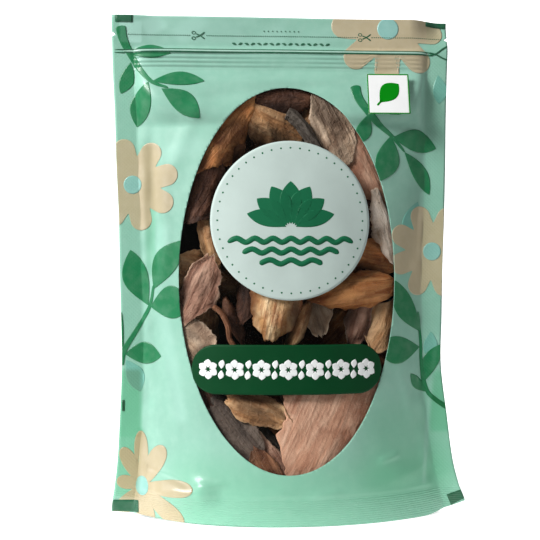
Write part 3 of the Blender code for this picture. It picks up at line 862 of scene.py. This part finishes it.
def ribbon(points, start, end, cells=60, across=8):
    """A flat ribbon along a smooth route, with rounded ends."""
    bm = flat_sheet(cells, across)
    for vert in bm.verts:
        share, side = vert.co.x, vert.co.z * 2 - 1
        x, z = smooth_route(points, share)
        ahead = smooth_route(points, min(share + 0.01, 1.0))
        behind = smooth_route(points, max(share - 0.01, 0.0))
        run = Vector((ahead[0] - behind[0], 0, ahead[1] - behind[1])).normalized()
        half = blend(start, end, share) * math.sqrt(min(share * 25 + 0.05, (1 - share) * 25 + 0.05, 1.0))
        vert.co = Vector((x - run.z * side * half, 0, z + run.x * side * half)) * MM
    return bm


def petal_reach(angle, count, first, reach, half):
    """How far a printed flower with round-ended petals reaches in a direction."""
    step = 2 * math.pi / count
    turn = (angle - first + step / 2) % step - step / 2
    sine, cosine = abs(math.sin(turn)), math.cos(turn)
    middle_out = reach - half
    if middle_out * sine < half and middle_out * cosine > half * sine:
        return middle_out * cosine + math.sqrt(half**2 - (middle_out * sine) ** 2)
    return half / sine


def flower_shape(x, z, reach, half, first, count, disc):
    """A flat flower without its disc."""
    bm = flat_sheet(count * 24, int(reach * MM / PRINT_CELL))
    start = math.radians(first)
    for vert in bm.verts:
        angle, share = vert.co.x * 2 * math.pi, vert.co.z
        far = petal_reach(angle, count, start, reach, half)
        radius = blend(disc * 0.5, max(far, disc), share)
        vert.co = (x * MM + radius * MM * math.cos(angle), 0, z * MM + radius * MM * math.sin(angle))
    bmesh.ops.remove_doubles(bm, verts=bm.verts, dist=0.02 * MM)
    return bm


def corner_flower_shapes():
    """The oval petals of the bottom corner's flower."""
    x, z, _, _, petals = CORNER_FLOWER
    shapes = []
    for direction, reach, half in petals:
        angle = math.radians(direction)
        petal = disc_shape(0, 0, reach / 2, half, 16, 64)
        for vert in petal.verts:
            along, across = vert.co.x + reach / 2 * MM, vert.co.z * (0.75 + 0.5 * vert.co.x / (reach * MM))
            vert.co = (x * MM + along * math.cos(angle) - across * math.sin(angle), 0,
                       z * MM + along * math.sin(angle) + across * math.cos(angle))
        shapes.append(petal)
    return shapes


def disc_shape(x, z, wide, high, rings=6, sides=64, hole=0.0):
    """A flat disc or, with a hole, a ring (mm)."""
    bm = flat_sheet(sides, rings)
    for vert in bm.verts:
        angle, share = vert.co.x * 2 * math.pi, blend(hole, 1.0, vert.co.z)
        vert.co = ((x + wide * share * math.cos(angle)) * MM, 0, (z + high * share * math.sin(angle)) * MM)
    bmesh.ops.remove_doubles(bm, verts=bm.verts, dist=0.002 * MM)
    return bm


def patch_shape(x, z, half_x, half_z, turn=0.0, corner=0.0):
    """A flat rectangle (mm), turned by degrees, whose corners may be rounded."""
    bm = flat_sheet(max(int(half_x * 2), 2), max(int(half_z * 2), 2))
    angle = math.radians(turn)
    for vert in bm.verts:
        across, up = (vert.co.x * 2 - 1) * half_x, (vert.co.z * 2 - 1) * half_z
        if corner:
            over_x, over_z = abs(across) - half_x + corner, abs(up) - half_z + corner
            if over_x > 0 and over_z > 0:
                shrink = max(over_x, over_z) / math.hypot(over_x, over_z)
                across = math.copysign(half_x - corner + over_x * shrink, across)
                up = math.copysign(half_z - corner + over_z * shrink, up)
        vert.co = (
            (x + across * math.cos(angle) - up * math.sin(angle)) * MM, 0,
            (z + across * math.sin(angle) + up * math.cos(angle)) * MM,
        )
    return bm


def scissors_shapes(x, z):
    """A small pair of scissors, open to the right (mm)."""
    shapes = [ribbon(((x - 1.2, z - side * 0.8), (x + 0.8, z), (x + 3.0, z + side * 1.6)), 0.2, 0.32, 8, 2)
              for side in (-1, 1)]
    shapes += [disc_shape(x - 2.1, z + side * 1.25, 1.0, 0.8, 2, 20, 0.62) for side in (-1, 1)]
    return shapes


def line_shapes():
    """The dashed cutting line, two pairs of scissors, the double line and small ornaments."""
    shapes = []
    for index in range(147):
        x = -72.5 + index
        if min(abs(x + 40.5), abs(x - 37)) > 3.4:
            shapes.append(patch_shape(x, 221.3, 0.3, 0.16))
    shapes += scissors_shapes(-40.5, 221.3) + scissors_shapes(37, 221.3)
    for z in (213.0, 214.4):
        shapes.append(ribbon(((-79, z), (-30, z), (30, z), (69, z)), 0.24, 0.24, 148, 2))
    shapes.append(ribbon(((67, 213.0), (70.5, 214.0), (74, 216.4), (78.2, 219)), 0.35, 0.35, 14, 2))
    shapes.append(ribbon(((67, 214.4), (70.5, 213.6), (74, 211.8), (78.2, 210.3)), 0.35, 0.35, 14, 2))
    for index in range(16):
        x, lean = -25 + index * 2.9, (index % 2) * 0.8 - 0.4
        shapes.append(leaf_shape(x, 217.6 - lean, x + 2.2, 217.6 + lean, 1.0))
    for index in range(9):
        shapes.append(disc_shape(-10 + index * 2.0, 223.6, 0.3, 0.3, 2, 12))
    return shapes


def make_print(name, side, shapes, ink, out=0.0):
    """Joins flat shapes, trims them to the film, and lays them on it as one printed layer."""
    whole = bmesh.new()
    for shape in shapes:
        if side > 0:
            bmesh.ops.scale(shape, vec=(-1, 1, 1), verts=shape.verts)
        if side < 0:
            trim(shape, outside_window)
        if shape.faces:
            trim(shape, within_edges)
        if shape.faces:
            lay(shape, side, PRINT_LIFT + out)
        join(whole, shape)
    piece = add_wall(new_object(name, whole, ink), PRINT_WALL)
    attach(piece, "root")
    return piece


# Operators

class PouchFilms(bpy.types.Operator):
    """Makes the front film with its window, and the back film."""

    bl_idname = "pouch.films"
    bl_label = "Films"

    def execute(self, context):
        cell = context.scene.pouch_film.cell
        finish = film_material("printed_laminate", context.scene.pouch_film.mint)
        inside = inner_shade_material()
        seal_columns = round(SEAL / cell)
        inner_columns = round(2 * (HALF_WIDTH - SEAL) / cell)
        columns = 2 * seal_columns + inner_columns
        rows = self.row_heights(cell)
        for name, side, node in (("front_film", -1, "front_panel"), ("back_film", 1, "back_panel")):
            bm = flat_sheet(columns, len(rows) - 1)
            for vert in bm.verts:
                z = rows[round(vert.co.z * (len(rows) - 1))]
                column = round(vert.co.x * columns)
                left, right = edge_at(-1, z), edge_at(1, z)
                if column < seal_columns:
                    x = -left + SEAL * column / seal_columns
                elif column > columns - seal_columns:
                    x = right - SEAL * (columns - column) / seal_columns
                else:
                    share = (column - seal_columns) / inner_columns
                    x = blend(SEAL - left, right - SEAL, share)
                vert.co = (x, 0, z)
            if side < 0:
                trim(bm, outside_window)
            trim(bm, self.outside_notch)
            lay(bm, side, 0.0)
            film = add_wall(new_object(name, bm, finish, inside), FILM_WALL, 0.0, 1)
            film.modifiers["Wall"].material_offset_rim = 0
            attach(film, "root")
            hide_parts(node)
        return {"FINISHED"}

    def row_heights(self, cell):
        """Heights of the mesh rows, closer along the zip."""
        rows = [0.0]
        while rows[-1] < HEIGHT - 0.2 * cell:
            close = ZIP_LOW - 2 * MM < rows[-1] < ZIP_HIGH + 3 * MM
            rows.append(rows[-1] + (cell * 0.4 if close else cell))
        rows[-1] = HEIGHT
        return rows

    def outside_notch(self, x, z):
        """Above zero outside the tear notches."""
        height, deep, half = NOTCH
        if abs(z - height) >= half:
            return 1.0
        return edge_at(1 if x > 0 else -1, z) - deep * (1 - abs(z - height) / half) - abs(x)


class PouchWindow(bpy.types.Operator):
    """Makes the clear film behind the window's edge."""

    bl_idname = "pouch.window"
    bl_label = "Window"

    def execute(self, context):
        overlap = 3 * MM
        bm = disc_shape(WINDOW[0] / MM, WINDOW[1] / MM, (WINDOW[2] + overlap) / MM,
                        (WINDOW[3] + overlap) / MM, 40, 160)
        lay(bm, -1, -FILM_WALL / 2 - 0.08 * MM)
        sheet = add_wall(new_object("window_sheet", bm, window_material()), 0.08 * MM)
        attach(sheet, "root")
        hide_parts("window_film")
        return {"FINISHED"}


class PouchGusset(bpy.types.Operator):
    """Makes the folded bottom between the films."""

    bl_idname = "pouch.gusset"
    bl_label = "Folded bottom"

    def execute(self, context):
        skirt_rows, floor_rows = 8, 60
        rows = 2 * skirt_rows + floor_rows
        bm = flat_sheet(100, rows)
        for vert in bm.verts:
            x = blend(-GUSSET_HALF, GUSSET_HALF, vert.co.x)
            row = round(vert.co.z * rows)
            skirt = max(skirt_rows - row, row - rows + skirt_rows, 0) / skirt_rows
            across = min(max((row - skirt_rows) / floor_rows, 0), 1) * 2 - 1
            y = across * self.half_gap(x)
            z = blend(self.height(x, y), GUSSET_SKIRT[0] + corner_lift(x), skirt)
            z += 0.5 * MM * noise.noise((x * 60, y * 60, 4)) * (1 - skirt)
            front, back = film_place(-1, x, z).y + 0.5 * MM, film_place(1, x, z).y - 0.5 * MM
            y = min(max(y, front), back) if front < back else (front + back) / 2
            vert.co = (x, y, z)
        bm.normal_update()
        bmesh.ops.recalc_face_normals(bm, faces=bm.faces)
        gusset = add_wall(new_object("gusset_sheet", bm, film_material(
            "gusset_laminate", context.scene.pouch_film.mint)), GUSSET_WALL)
        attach(gusset, "root")
        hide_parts("bottom_gusset")
        return {"FINISHED"}

    def half_gap(self, x):
        """Distance of the skirts from the middle plane."""
        depth = BASE_DEPTH * (1 - min(abs(x) / (edge_at(1, BASE_WALL) - SEAL), 1.0) ** fullness(0))
        return max(depth - 0.9 * MM, 0.3 * MM)

    def height(self, x, y):
        """Height of the fold's slope at a place between the skirts."""
        ridge = blend(GUSSET_RIDGE[0], GUSSET_RIDGE[1], (abs(x) / GUSSET_HALF) ** 2)
        across = min(abs(y) / self.half_gap(x), 1.0)
        return blend(GUSSET_SKIRT[1], ridge, 1 - across**1.6)


class PouchZip(bpy.types.Operator):
    """Gives the zip's two strips their milky plastic."""

    bl_idname = "pouch.zip"
    bl_label = "Zip"

    def execute(self, context):
        plastic = plastic_material("zip_milky_plastic", (0.62, 0.85, 0.76))
        for node in ("zip_groove_strip", "zip_rib_strip"):
            strip = frame["nodes"][node]
            strip.data.materials.clear()
            strip.data.materials.append(plastic)
        return {"FINISHED"}


class PouchPrint(bpy.types.Operator):
    """Prints leaves, stems, flowers, lines and corner marks on both films."""

    bl_idname = "pouch.print"
    bl_label = "Print"

    def execute(self, context):
        colors = context.scene.pouch_print
        # the inks take a weaker share of the film's painted shade and painted highlights
        shade = ((0.66, 0.66, 0.55), 0.1)
        leaf = film_material("leaf_ink", colors.leaf, *shade)
        flower = film_material("flower_ink", colors.flower, *shade)
        disc = film_material("disc_ink", colors.disc, *shade)
        line = film_material("line_ink", colors.line, *shade)
        faint = film_material("faint_leaf_ink", colors.faint, *shade)
        mint = context.scene.pouch_film.mint
        pale = film_material("pale_ink", [blend(value, 0.8, 0.2) for value in mint], *shade)
        layer = 0.035 * MM
        for word, side in (("front", -1), ("back", 1)):
            make_print(f"{word}_faint_leaves", side, [leaf_shape(*row) for row in FAINT_LEAVES], faint)
            blooms = [flower_shape(*row) for row in FLOWERS] + corner_flower_shapes()
            make_print(f"{word}_flowers", side, blooms, flower, layer)
            discs = [disc_shape(row[0], row[1], row[6], row[6], 9) for row in FLOWERS]
            discs.append(disc_shape(*CORNER_FLOWER[:4], 9))
            make_print(f"{word}_flower_discs", side, discs, disc, 3 * layer)
            green = [leaf_shape(*row) for row in LEAVES]
            green += [ribbon(points, start, end) for start, end, points in STEMS]
            make_print(f"{word}_leaves", side, green, leaf, 2 * layer)
            marks = [patch_shape(*row) for row in CORNER_MARKS]
            make_print(f"{word}_lines", side, marks + line_shapes(), line, 3 * layer)
            gap = ribbon(((-75, 213.7), (-30, 213.7), (30, 213.7), (67, 213.7)), 0.4, 0.4, 140, 3)
            make_print(f"{word}_line_gap", side, [gap], pale, 3 * layer)
        return {"FINISHED"}


def lay_stiff(bm, x, z, out):
    """Lays a flat sheet on the plane that touches the front film at a place."""
    step = 5 * MM
    place = film_place(-1, x, z)
    across = (film_place(-1, x + step, z) - film_place(-1, x - step, z)).y / (2 * step)
    up = (film_place(-1, x, z + step) - film_place(-1, x, z - step)).y / (2 * step)
    for vert in bm.verts:
        x_run, z_run = vert.co.x - x, vert.co.z - z
        vert.co = place + Vector((x_run, (across * x_run + up * z_run) * 0.8 - out, z_run))
    face_to(bm, -1)


def make_sticker(name, node, base, layers, stiff=None):
    """Lays a sticker's paper and its printed layers on the film, or flat on it if stiff has a place."""
    pieces = [(name, base, 0.55 * MM, 0.12 * MM)]
    pieces += [(f"{name}_{word}", shape_finish, 0.63 * MM + 0.05 * MM * level, 0.05 * MM)
               for level, (word, shape_finish) in enumerate(layers)]
    for piece_name, (shapes, finish), out, wall in pieces:
        whole = bmesh.new()
        for shape in shapes:
            if stiff:
                lay_stiff(shape, *stiff, out + 1.1 * MM)
            else:
                lay(shape, -1, out)
            join(whole, shape)
        piece = add_wall(new_object(piece_name, whole, finish), wall)
        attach(piece, "root")
        if piece_name == name:
            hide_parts(node)


class PouchRoundSticker(bpy.types.Operator):
    """Makes the round sticker with an open blossom over rippling water."""

    bl_idname = "pouch.round_sticker"
    bl_label = "Round sticker"

    def execute(self, context):
        colors = context.scene.pouch_print
        x, z, half, _ = (value / MM for value in ROUND_LABEL)
        paper = paper_material("sticker_paper", colors.sticker, 0.4)
        green = paper_material("sticker_green", (0.012, 0.15, 0.065), 0.4)
        disc = disc_shape(x, z, half, half, 30, 128)
        shapes = []
        foot = z - 3.5
        for turn, length, width in ((0, 21, 10), (25, 20.5, 9.4), (49, 20, 8.6), (72, 20.5, 7.4)):
            for sign in ((1,) if turn == 0 else (-1, 1)):
                angle = math.radians(90 + sign * turn)
                start = 2.2
                shapes.append(leaf_shape(
                    x + start * math.cos(angle), foot + start * math.sin(angle) * 0.8,
                    x + length * math.cos(angle), foot + length * math.sin(angle),
                    width, -0.05 * sign if turn else 0.0,
                ))
        for row, (down, reach) in enumerate(((5.5, 28), (10.3, 21.5), (15.1, 14))):
            steps = 7 - row * 2
            points = [(x + blend(-reach, reach, index / (2 * steps)), foot - down + (index % 2 - 0.5) * 1.8)
                      for index in range(2 * steps + 1)]
            shapes.append(ribbon(points, 1.25, 1.25, 12 * steps, 2))
        for index in range(48):
            angle = index / 48 * 2 * math.pi
            shapes.append(disc_shape(x + (half - 3.2) * math.cos(angle), z + (half - 3.2) * math.sin(angle),
                                     0.42, 0.42, 2, 12))
        make_sticker("round_sticker", "round_label", ([disc], paper),
                     [("blossom", (shapes, green))])
        return {"FINISHED"}


class PouchNameSticker(bpy.types.Operator):
    """Makes the long round-ended sticker with a garland of leaves and rosettes."""

    bl_idname = "pouch.name_sticker"
    bl_label = "Long sticker"

    def execute(self, context):
        x, z, half_x, half_z = (value / MM for value in NAME_LABEL)
        badge = paper_material("badge_paper", context.scene.pouch_print.badge, 0.5)
        white = paper_material("badge_white", (0.93, 0.95, 0.94), 0.5)
        body = self.pill(x, z, half_x, half_z)
        shapes = []
        count, reach = 7, half_x - 7.5
        for index in range(count):
            middle_x = x + blend(-reach, reach, index / (count - 1))
            for petal in range(6):
                angle = math.radians(60 * petal + 30)
                shapes.append(leaf_shape(middle_x + 0.7 * math.cos(angle), z + 0.7 * math.sin(angle),
                                         middle_x + 4.5 * math.cos(angle), z + 4.5 * math.sin(angle), 3.3))
            if index < count - 1:
                between = middle_x + reach / (count - 1)
                for sign in (-1, 1):
                    shapes.append(leaf_shape(between, z + 0.3 * sign, between + 0.7 * sign, z + 4.3 * sign, 2.7))
        make_sticker("name_sticker", "name_label", ([body], badge),
                     [("garland", (shapes, white))])
        return {"FINISHED"}

    def pill(self, x, z, half_x, half_z):
        """A flat shape with half-round ends (mm)."""
        bm = flat_sheet(90, 22)
        for vert in bm.verts:
            across, up = (vert.co.x * 2 - 1) * half_x, vert.co.z * 2 - 1
            end = max(abs(across) - half_x + half_z, 0.0) / half_z
            shrink = math.sqrt(max(1 - end**2, 0.0))
            vert.co = ((x + across) * MM, 0, (z + up * half_z * shrink) * MM)
        bmesh.ops.remove_doubles(bm, verts=bm.verts, dist=0.01 * MM)
        return bm


class PouchSquareSticker(bpy.types.Operator):
    """Makes the small square sticker with a thin frame and a leaf."""

    bl_idname = "pouch.square_sticker"
    bl_label = "Square sticker"

    def execute(self, context):
        x, z, half, _ = (value / MM for value in SQUARE_LABEL)
        white = paper_material("square_white", (0.95, 0.96, 0.95), 0.45)
        green = paper_material("square_green", (0.0, 0.25, 0.004), 0.45)
        frame_line = 0.55
        bars = []
        for sign in (-1, 1):
            bars.append(patch_shape(x, z + sign * (half - frame_line / 2), half, frame_line / 2, 0, 0.25))
            bars.append(patch_shape(x + sign * (half - frame_line / 2), z, frame_line / 2, half - 0.2))
        leaf = leaf_shape(x - 4.2, z - 4.2, x + 4.8, z + 4.8, 8.6, 0.04)
        stalk = ribbon(((x - 5.4, z - 5.6), (x - 4.4, z - 4.4), (x - 3.0, z - 3.0)), 0.45, 0.5, 8, 2)
        make_sticker("square_sticker", "square_label", ([patch_shape(x, z, half, half)], white),
                     [("frame_and_leaf", (bars + [leaf, stalk], green))], SQUARE_LABEL[:2])
        return {"FINISHED"}


def petal_measures(node):
    """A CAD petal's frame, its edges at stations along it, and its middle surface."""
    mesh = frame["nodes"][node].data
    coords = np.empty(len(mesh.vertices) * 3)
    mesh.vertices.foreach_get("co", coords)
    points = np.unique(np.round(coords.reshape(-1, 3), 6), axis=0)
    centre = points.mean(axis=0)
    _, _, axes = np.linalg.svd(points - centre, full_matrices=False)
    if axes[0][2] < 0:
        axes[0] *= -1
    if axes[2][1] > 0:
        axes[2] *= -1
    axes[1] = np.cross(axes[2], axes[0])
    local = (points - centre) @ axes.T
    low, high = local[:, 0].min(), local[:, 0].max()
    stations = np.linspace(low, high, 8)
    middles, lower, upper = [], [], []
    for start, end in zip(stations[:-1], stations[1:]):
        chosen = local[(local[:, 0] >= start - 1e-9) & (local[:, 0] <= end + 1e-9)]
        if len(chosen) > 1:
            middles.append((start + end) / 2)
            lower.append(chosen[:, 1].min())
            upper.append(chosen[:, 1].max())
    length, width = (high - low) / 2, max(max(upper) - min(lower), 1e-6) / 2

    def terms(u, v):
        u, v = u / length, v / width
        return np.stack([np.ones_like(u), u, v, u * v, u * u, v * v, u * u * v, u * v * v, u**3], axis=-1)

    fit = np.linalg.lstsq(terms(local[:, 0], local[:, 1]), local[:, 2], rcond=None)[0]
    return centre, axes, (low, high), (middles, lower, upper), lambda u, v: float(terms(u, v) @ fit)


def wrinkles(spot):
    """Sharp creases between softer swellings, from about -1 to 1."""
    folds = noise.ridged_multi_fractal(spot, 0.9, 2.1, 4, 1.0, 2.0, noise_basis="PERLIN_ORIGINAL")
    bent = spot + noise.noise_vector(spot * 1.3) * 0.45
    creases = noise.voronoi(bent)[0][0]
    return 0.8 * noise.noise(spot * 0.8 + Vector((9, 9, 9))) + 0.45 * (1 - folds) + 2.2 * (creases - 0.45)


def make_petal(node, tone, rng, settings):
    """Makes a crumpled petal in the place of a CAD petal."""
    centre, axes, (low, high), (middles, lower, upper), middle_height = petal_measures(node)
    length = high - low
    widest = max(b - a for a, b in zip(lower, upper))
    cells = (max(int(length / PETAL_CELL), 20), max(int(widest / PETAL_CELL), 8))
    bm = flat_sheet(*cells)
    uv_layer = bm.loops.layers.uv.new("length")
    rim_layer = bm.verts.layers.float.new("rim")
    hollow_shade_layer = bm.verts.layers.float.new("hollow_shade")
    crest_light_layer = bm.verts.layers.float.new("crest_light")
    depth_shade_layer = bm.verts.layers.float.new("deep")
    seed = Vector((rng.uniform(0, 90), rng.uniform(0, 90), rng.uniform(0, 90)))
    broad, blunt = rng.uniform(0.45, 0.85), rng.uniform(2.6, 6.0)
    curl = rng.uniform(0.6, 2.0) * MM * rng.choice((-1, 1))
    roll = rng.uniform(-1.2, 1.2) * MM
    stretch = rng.uniform(0.35, 0.6)
    flatness = 0.45 if tone == "pink" else 1.0
    places = {}
    for vert in bm.verts:
        along, side = vert.co.x, vert.co.z * 2 - 1
        reach = abs(2 * along - 1)
        u = low + along * length
        u += 1.8 * MM * noise.noise(seed + Vector((side * 3.2, round(along), 7))) * reach**4
        bottom, top = np.interp(u, middles, lower), np.interp(u, middles, upper)
        half = widest / 2 * ((top - bottom) / widest) ** broad
        half *= (1 - min(reach, 0.995) ** blunt) ** (1 / blunt)
        half *= 1 + 0.22 * noise.noise(seed + Vector((along * 6, side * 0.7, 0)))
        half *= 1 + 0.1 * noise.noise(seed + Vector((along * 30, side * 0.7, 3)))
        v = (top + bottom) / 2 + side * half
        spot = Vector((u * 85 * stretch, v * 85, 0)) + seed
        crumple = wrinkles(spot) + 0.32 * wrinkles(spot * 2.6)
        pleats = abs(noise.noise(seed + Vector((u * 22, v * 420, 2)))) * 2 - 0.6
        height = flatness * (settings.crumple * (crumple - 0.9) + settings.pleat * pleats)
        bend = curl * max(abs(side) - 0.5, 0.0) ** 2 * 5 + roll * side * math.sin(along * 3 + seed.x)
        w = middle_height(np.float64(u), np.float64(v)) + height + bend
        place = Vector(centre + axes[0] * u + axes[1] * v + axes[2] * w)
        outwards = 1 + 0.06 * ease((rim_share(place.x, place.z) - 0.6) / 0.35)
        place.x = WINDOW[0] + (place.x - WINDOW[0]) * outwards
        place.z = WINDOW[1] + (place.z - WINDOW[1]) * outwards
        inner = edge_at(1 if place.x > 0 else -1, place.z) - SEAL
        room = half_depth(place.z) * (1 - min(abs(place.x) / inner, 1.0) ** fullness(place.z)) - 0.8 * MM
        front = sway(place.x, place.z) - room
        behind = (place.y - front) * blend(1.0, 0.3, ease((rim_share(place.x, place.z) - 0.62) / 0.38))
        behind = (behind + math.hypot(behind, 1.6 * MM)) / 2
        place.y = front + min(behind, 2 * room)
        vert[rim_layer] = max(ease((abs(side) - 0.88) / 0.12), ease((reach - 0.96) / 0.04))
        # painted shade in the crumples' hollows
        vert[hollow_shade_layer] = ease(0.45 - 0.6 * crumple) * flatness
        # painted highlight on the crumples' crests
        vert[crest_light_layer] = ease((crumple - 0.6) / 0.9) * flatness
        # painted shade by depth behind the front film
        vert[depth_shade_layer] = ease((behind - 6 * MM) / (11 * MM))
        places[vert] = (u, v)
        vert.co = place
    for face in bm.faces:
        for loop in face.loops:
            u, v = places[loop.vert]
            loop[uv_layer].uv = (u + seed.x * 0.01, v + seed.y * 0.01)
    face_to(bm, -1)
    piece = add_wall(new_object(node.replace("petal", "dried_petal"), bm,
                                shared(f"dried_petal_{tone}", petal_material, tone)), settings.wall)
    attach(piece, "root")
    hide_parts(node)


class PouchPetals(bpy.types.Operator):
    """Makes the dried petals."""

    bl_idname = "pouch.petals"
    bl_label = "Dried petals"

    def execute(self, context):
        settings = context.scene.pouch_filling
        rng = random.Random(settings.seed)
        for row in frame["record"]["subparts"]:
            if row["node"].startswith("petal_"):
                make_petal(row["node"], row["material_slot"].removeprefix("petal_"), rng, settings)
        return {"FINISHED"}


class PouchStalks(bpy.types.Operator):
    """Makes the ridged stalks among the petals."""

    bl_idname = "pouch.stalks"
    bl_label = "Stalks"

    def execute(self, context):
        for node, tone, radius, behind, route in STALKS:
            rings, sides = 60, 36
            bm = flat_sheet(rings, sides)
            uv_layer = bm.loops.layers.uv.new("length")
            rim_layer = bm.verts.layers.float.new("rim")
            places = {}
            for vert in bm.verts:
                share, turn = vert.co.x, vert.co.z * 2 * math.pi
                x, z = (value * MM for value in smooth_route(route, share))
                ahead = smooth_route(route, min(share + 0.02, 1.0))
                back = smooth_route(route, max(share - 0.02, 0.0))
                run = Vector((ahead[0] - back[0], 0, ahead[1] - back[1])).normalized()
                across = Vector((-run.z, 0, run.x))
                depth = half_depth(z) * (1 - (abs(x) / (HALF_WIDTH - SEAL)) ** fullness(z))
                ridges = 1 + 0.1 * math.sin(turn * 7 + 2 * noise.noise((share * 4, node == "stalk_01", 1)))
                ridges += 0.14 * noise.noise((math.cos(turn) * 1.5, math.sin(turn) * 1.5, share * 7))
                end = min(share, 1 - share) / 0.07
                size = radius * MM * ridges * math.sqrt(max(1 - (1 - min(end, 1.0)) ** 2, 0.0)) * 0.95
                out = Vector((0, -1, 0)) * math.sin(turn) + across * math.cos(turn)
                places[vert] = (share * 25 * MM, turn * radius * MM)
                vert[rim_layer] = ease(1 - end)
                vert.co = Vector((x, behind * MM - depth, z)) + out * size
            for face in bm.faces:
                for loop in face.loops:
                    loop[uv_layer].uv = places[loop.vert]
            bmesh.ops.remove_doubles(bm, verts=bm.verts, dist=0.001 * MM)
            bmesh.ops.recalc_face_normals(bm, faces=bm.faces)
            piece = new_object(f"dried_{node}", bm, shared(f"dried_petal_{tone}", petal_material, tone))
            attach(piece, "root")
            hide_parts(node)
        return {"FINISHED"}


class PouchStage(bpy.types.Operator):
    """Sets the pale floor, soft light and the camera."""

    bl_idname = "pouch.stage"
    bl_label = "Stage"

    def execute(self, context):
        settings = context.scene.pouch_stage
        self.add_floor(settings)
        self.add_light("key_light", (-0.95, -0.6, 0.82), 0.45, settings.key_power)
        self.add_light("fill_light", (0.9, -0.7, 0.35), 0.6, settings.fill_power)
        world = bpy.data.worlds.new("studio")
        world.use_nodes = True
        world.node_tree.nodes["Background"].inputs["Color"].default_value = (1, 1, 1, 1)
        world.node_tree.nodes["Background"].inputs["Strength"].default_value = settings.sky
        context.scene.world = world
        context.scene.view_settings.view_transform = "Standard"
        self.add_camera(settings)
        return {"FINISHED"}

    def add_floor(self, settings):
        """A floor that curves up into a backdrop: darker in front of the pouch, and glowing further back as
        painted light, so the backdrop looks white.
        """
        bm = flat_sheet(2, 60)
        for vert in bm.verts:
            run = vert.co.z * 5.0 - 1.8
            bend_start, radius = 0.6, 0.5
            angle = min(max((run - bend_start) / radius, 0.0), math.pi / 2)
            straight = max(run - bend_start - radius * math.pi / 2, 0.0)
            y = min(run, bend_start) + radius * math.sin(angle)
            z = radius * (1 - math.cos(angle)) + straight
            vert.co = ((vert.co.x - 0.5) * 6, y, z - 0.0002)
        bmesh.ops.recalc_face_normals(bm, faces=bm.faces)
        paper, tree, shader = new_material("floor_paper", Roughness=0.8, Emission_Color=(1, 1, 1, 1))
        split = add_node(tree, "ShaderNodeSeparateXYZ")
        tree.links.new(add_node(tree, "ShaderNodeTexCoord").outputs["Object"], split.inputs[0])
        # painted light: the floor glows further back, and is darker in front of the pouch
        backdrop_glow_share = spread(tree, split.outputs["Y"], -0.08, -0.045)
        dark = tuple(channel * 0.3 for channel in settings.floor)
        tree.links.new(mix_colors(tree, backdrop_glow_share, dark, tuple(settings.floor)), shader.inputs["Base Color"])
        tree.links.new(calculate(tree, "MULTIPLY", backdrop_glow_share, settings.glow), shader.inputs["Emission Strength"])
        floor = new_object("studio_floor", bm, paper)

    def add_light(self, name, place, size, power):
        """A square soft light aimed at the pouch."""
        data = bpy.data.lights.new(name, "AREA")
        data.size = size
        data.energy = power
        light = bpy.data.objects.new(name, data)
        light.location = place
        light.rotation_euler = (Vector((0, 0, HEIGHT / 2)) - light.location).to_track_quat("-Z", "Y").to_euler()
        bpy.context.scene.collection.objects.link(light)

    def add_camera(self, settings):
        """The camera stands a little to the left of the pouch and level with its middle."""
        data = bpy.data.cameras.new("camera")
        data.lens = settings.lens
        data.clip_start = 0.01
        camera = bpy.data.objects.new("camera", data)
        camera.location = (-0.0319, -0.4709, 0.1085)
        aim = Vector((-0.0072, 0, 0.1128))
        camera.rotation_euler = (aim - camera.location).to_track_quat("-Z", "Y").to_euler()
        bpy.context.scene.collection.objects.link(camera)
        bpy.context.scene.camera = camera


OPERATORS = (
    PouchFilms, PouchWindow, PouchGusset, PouchZip, PouchPrint, PouchRoundSticker,
    PouchNameSticker, PouchSquareSticker, PouchPetals, PouchStalks, PouchStage,
)
SETTINGS = (
    ("pouch_film", PouchFilmSettings),
    ("pouch_print", PouchPrintSettings),
    ("pouch_filling", PouchFillingSettings),
    ("pouch_stage", PouchStageSettings),
)


class PouchPanel(bpy.types.Panel):
    """Lists the pouch's pieces and settings."""

    bl_idname = "VIEW3D_PT_pouch"
    bl_label = "Pouch"
    bl_space_type = "VIEW_3D"
    bl_region_type = "UI"
    bl_category = "Pouch"

    def draw(self, context):
        layout = self.layout
        for name, group in SETTINGS:
            for prop in group.__annotations__:
                layout.prop(getattr(context.scene, name), prop)
        for operator in OPERATORS:
            layout.operator(operator.bl_idname)


def register():
    """Registers the classes and the settings."""
    for _, group in SETTINGS:
        bpy.utils.register_class(group)
    for operator in OPERATORS:
        bpy.utils.register_class(operator)
    bpy.utils.register_class(PouchPanel)
    for name, group in SETTINGS:
        setattr(bpy.types.Scene, name, PointerProperty(type=group))


def unregister():
    """Removes the settings and the classes."""
    for name, _ in SETTINGS:
        delattr(bpy.types.Scene, name)
    bpy.utils.unregister_class(PouchPanel)
    for operator in reversed(OPERATORS):
        bpy.utils.unregister_class(operator)
    for _, group in reversed(SETTINGS):
        bpy.utils.unregister_class(group)


def main():
    """Builds every piece."""
    register()
    for operator in OPERATORS:
        group, name = operator.bl_idname.split(".")
        getattr(getattr(bpy.ops, group), name)()


if __name__ == "__main__":
    main()
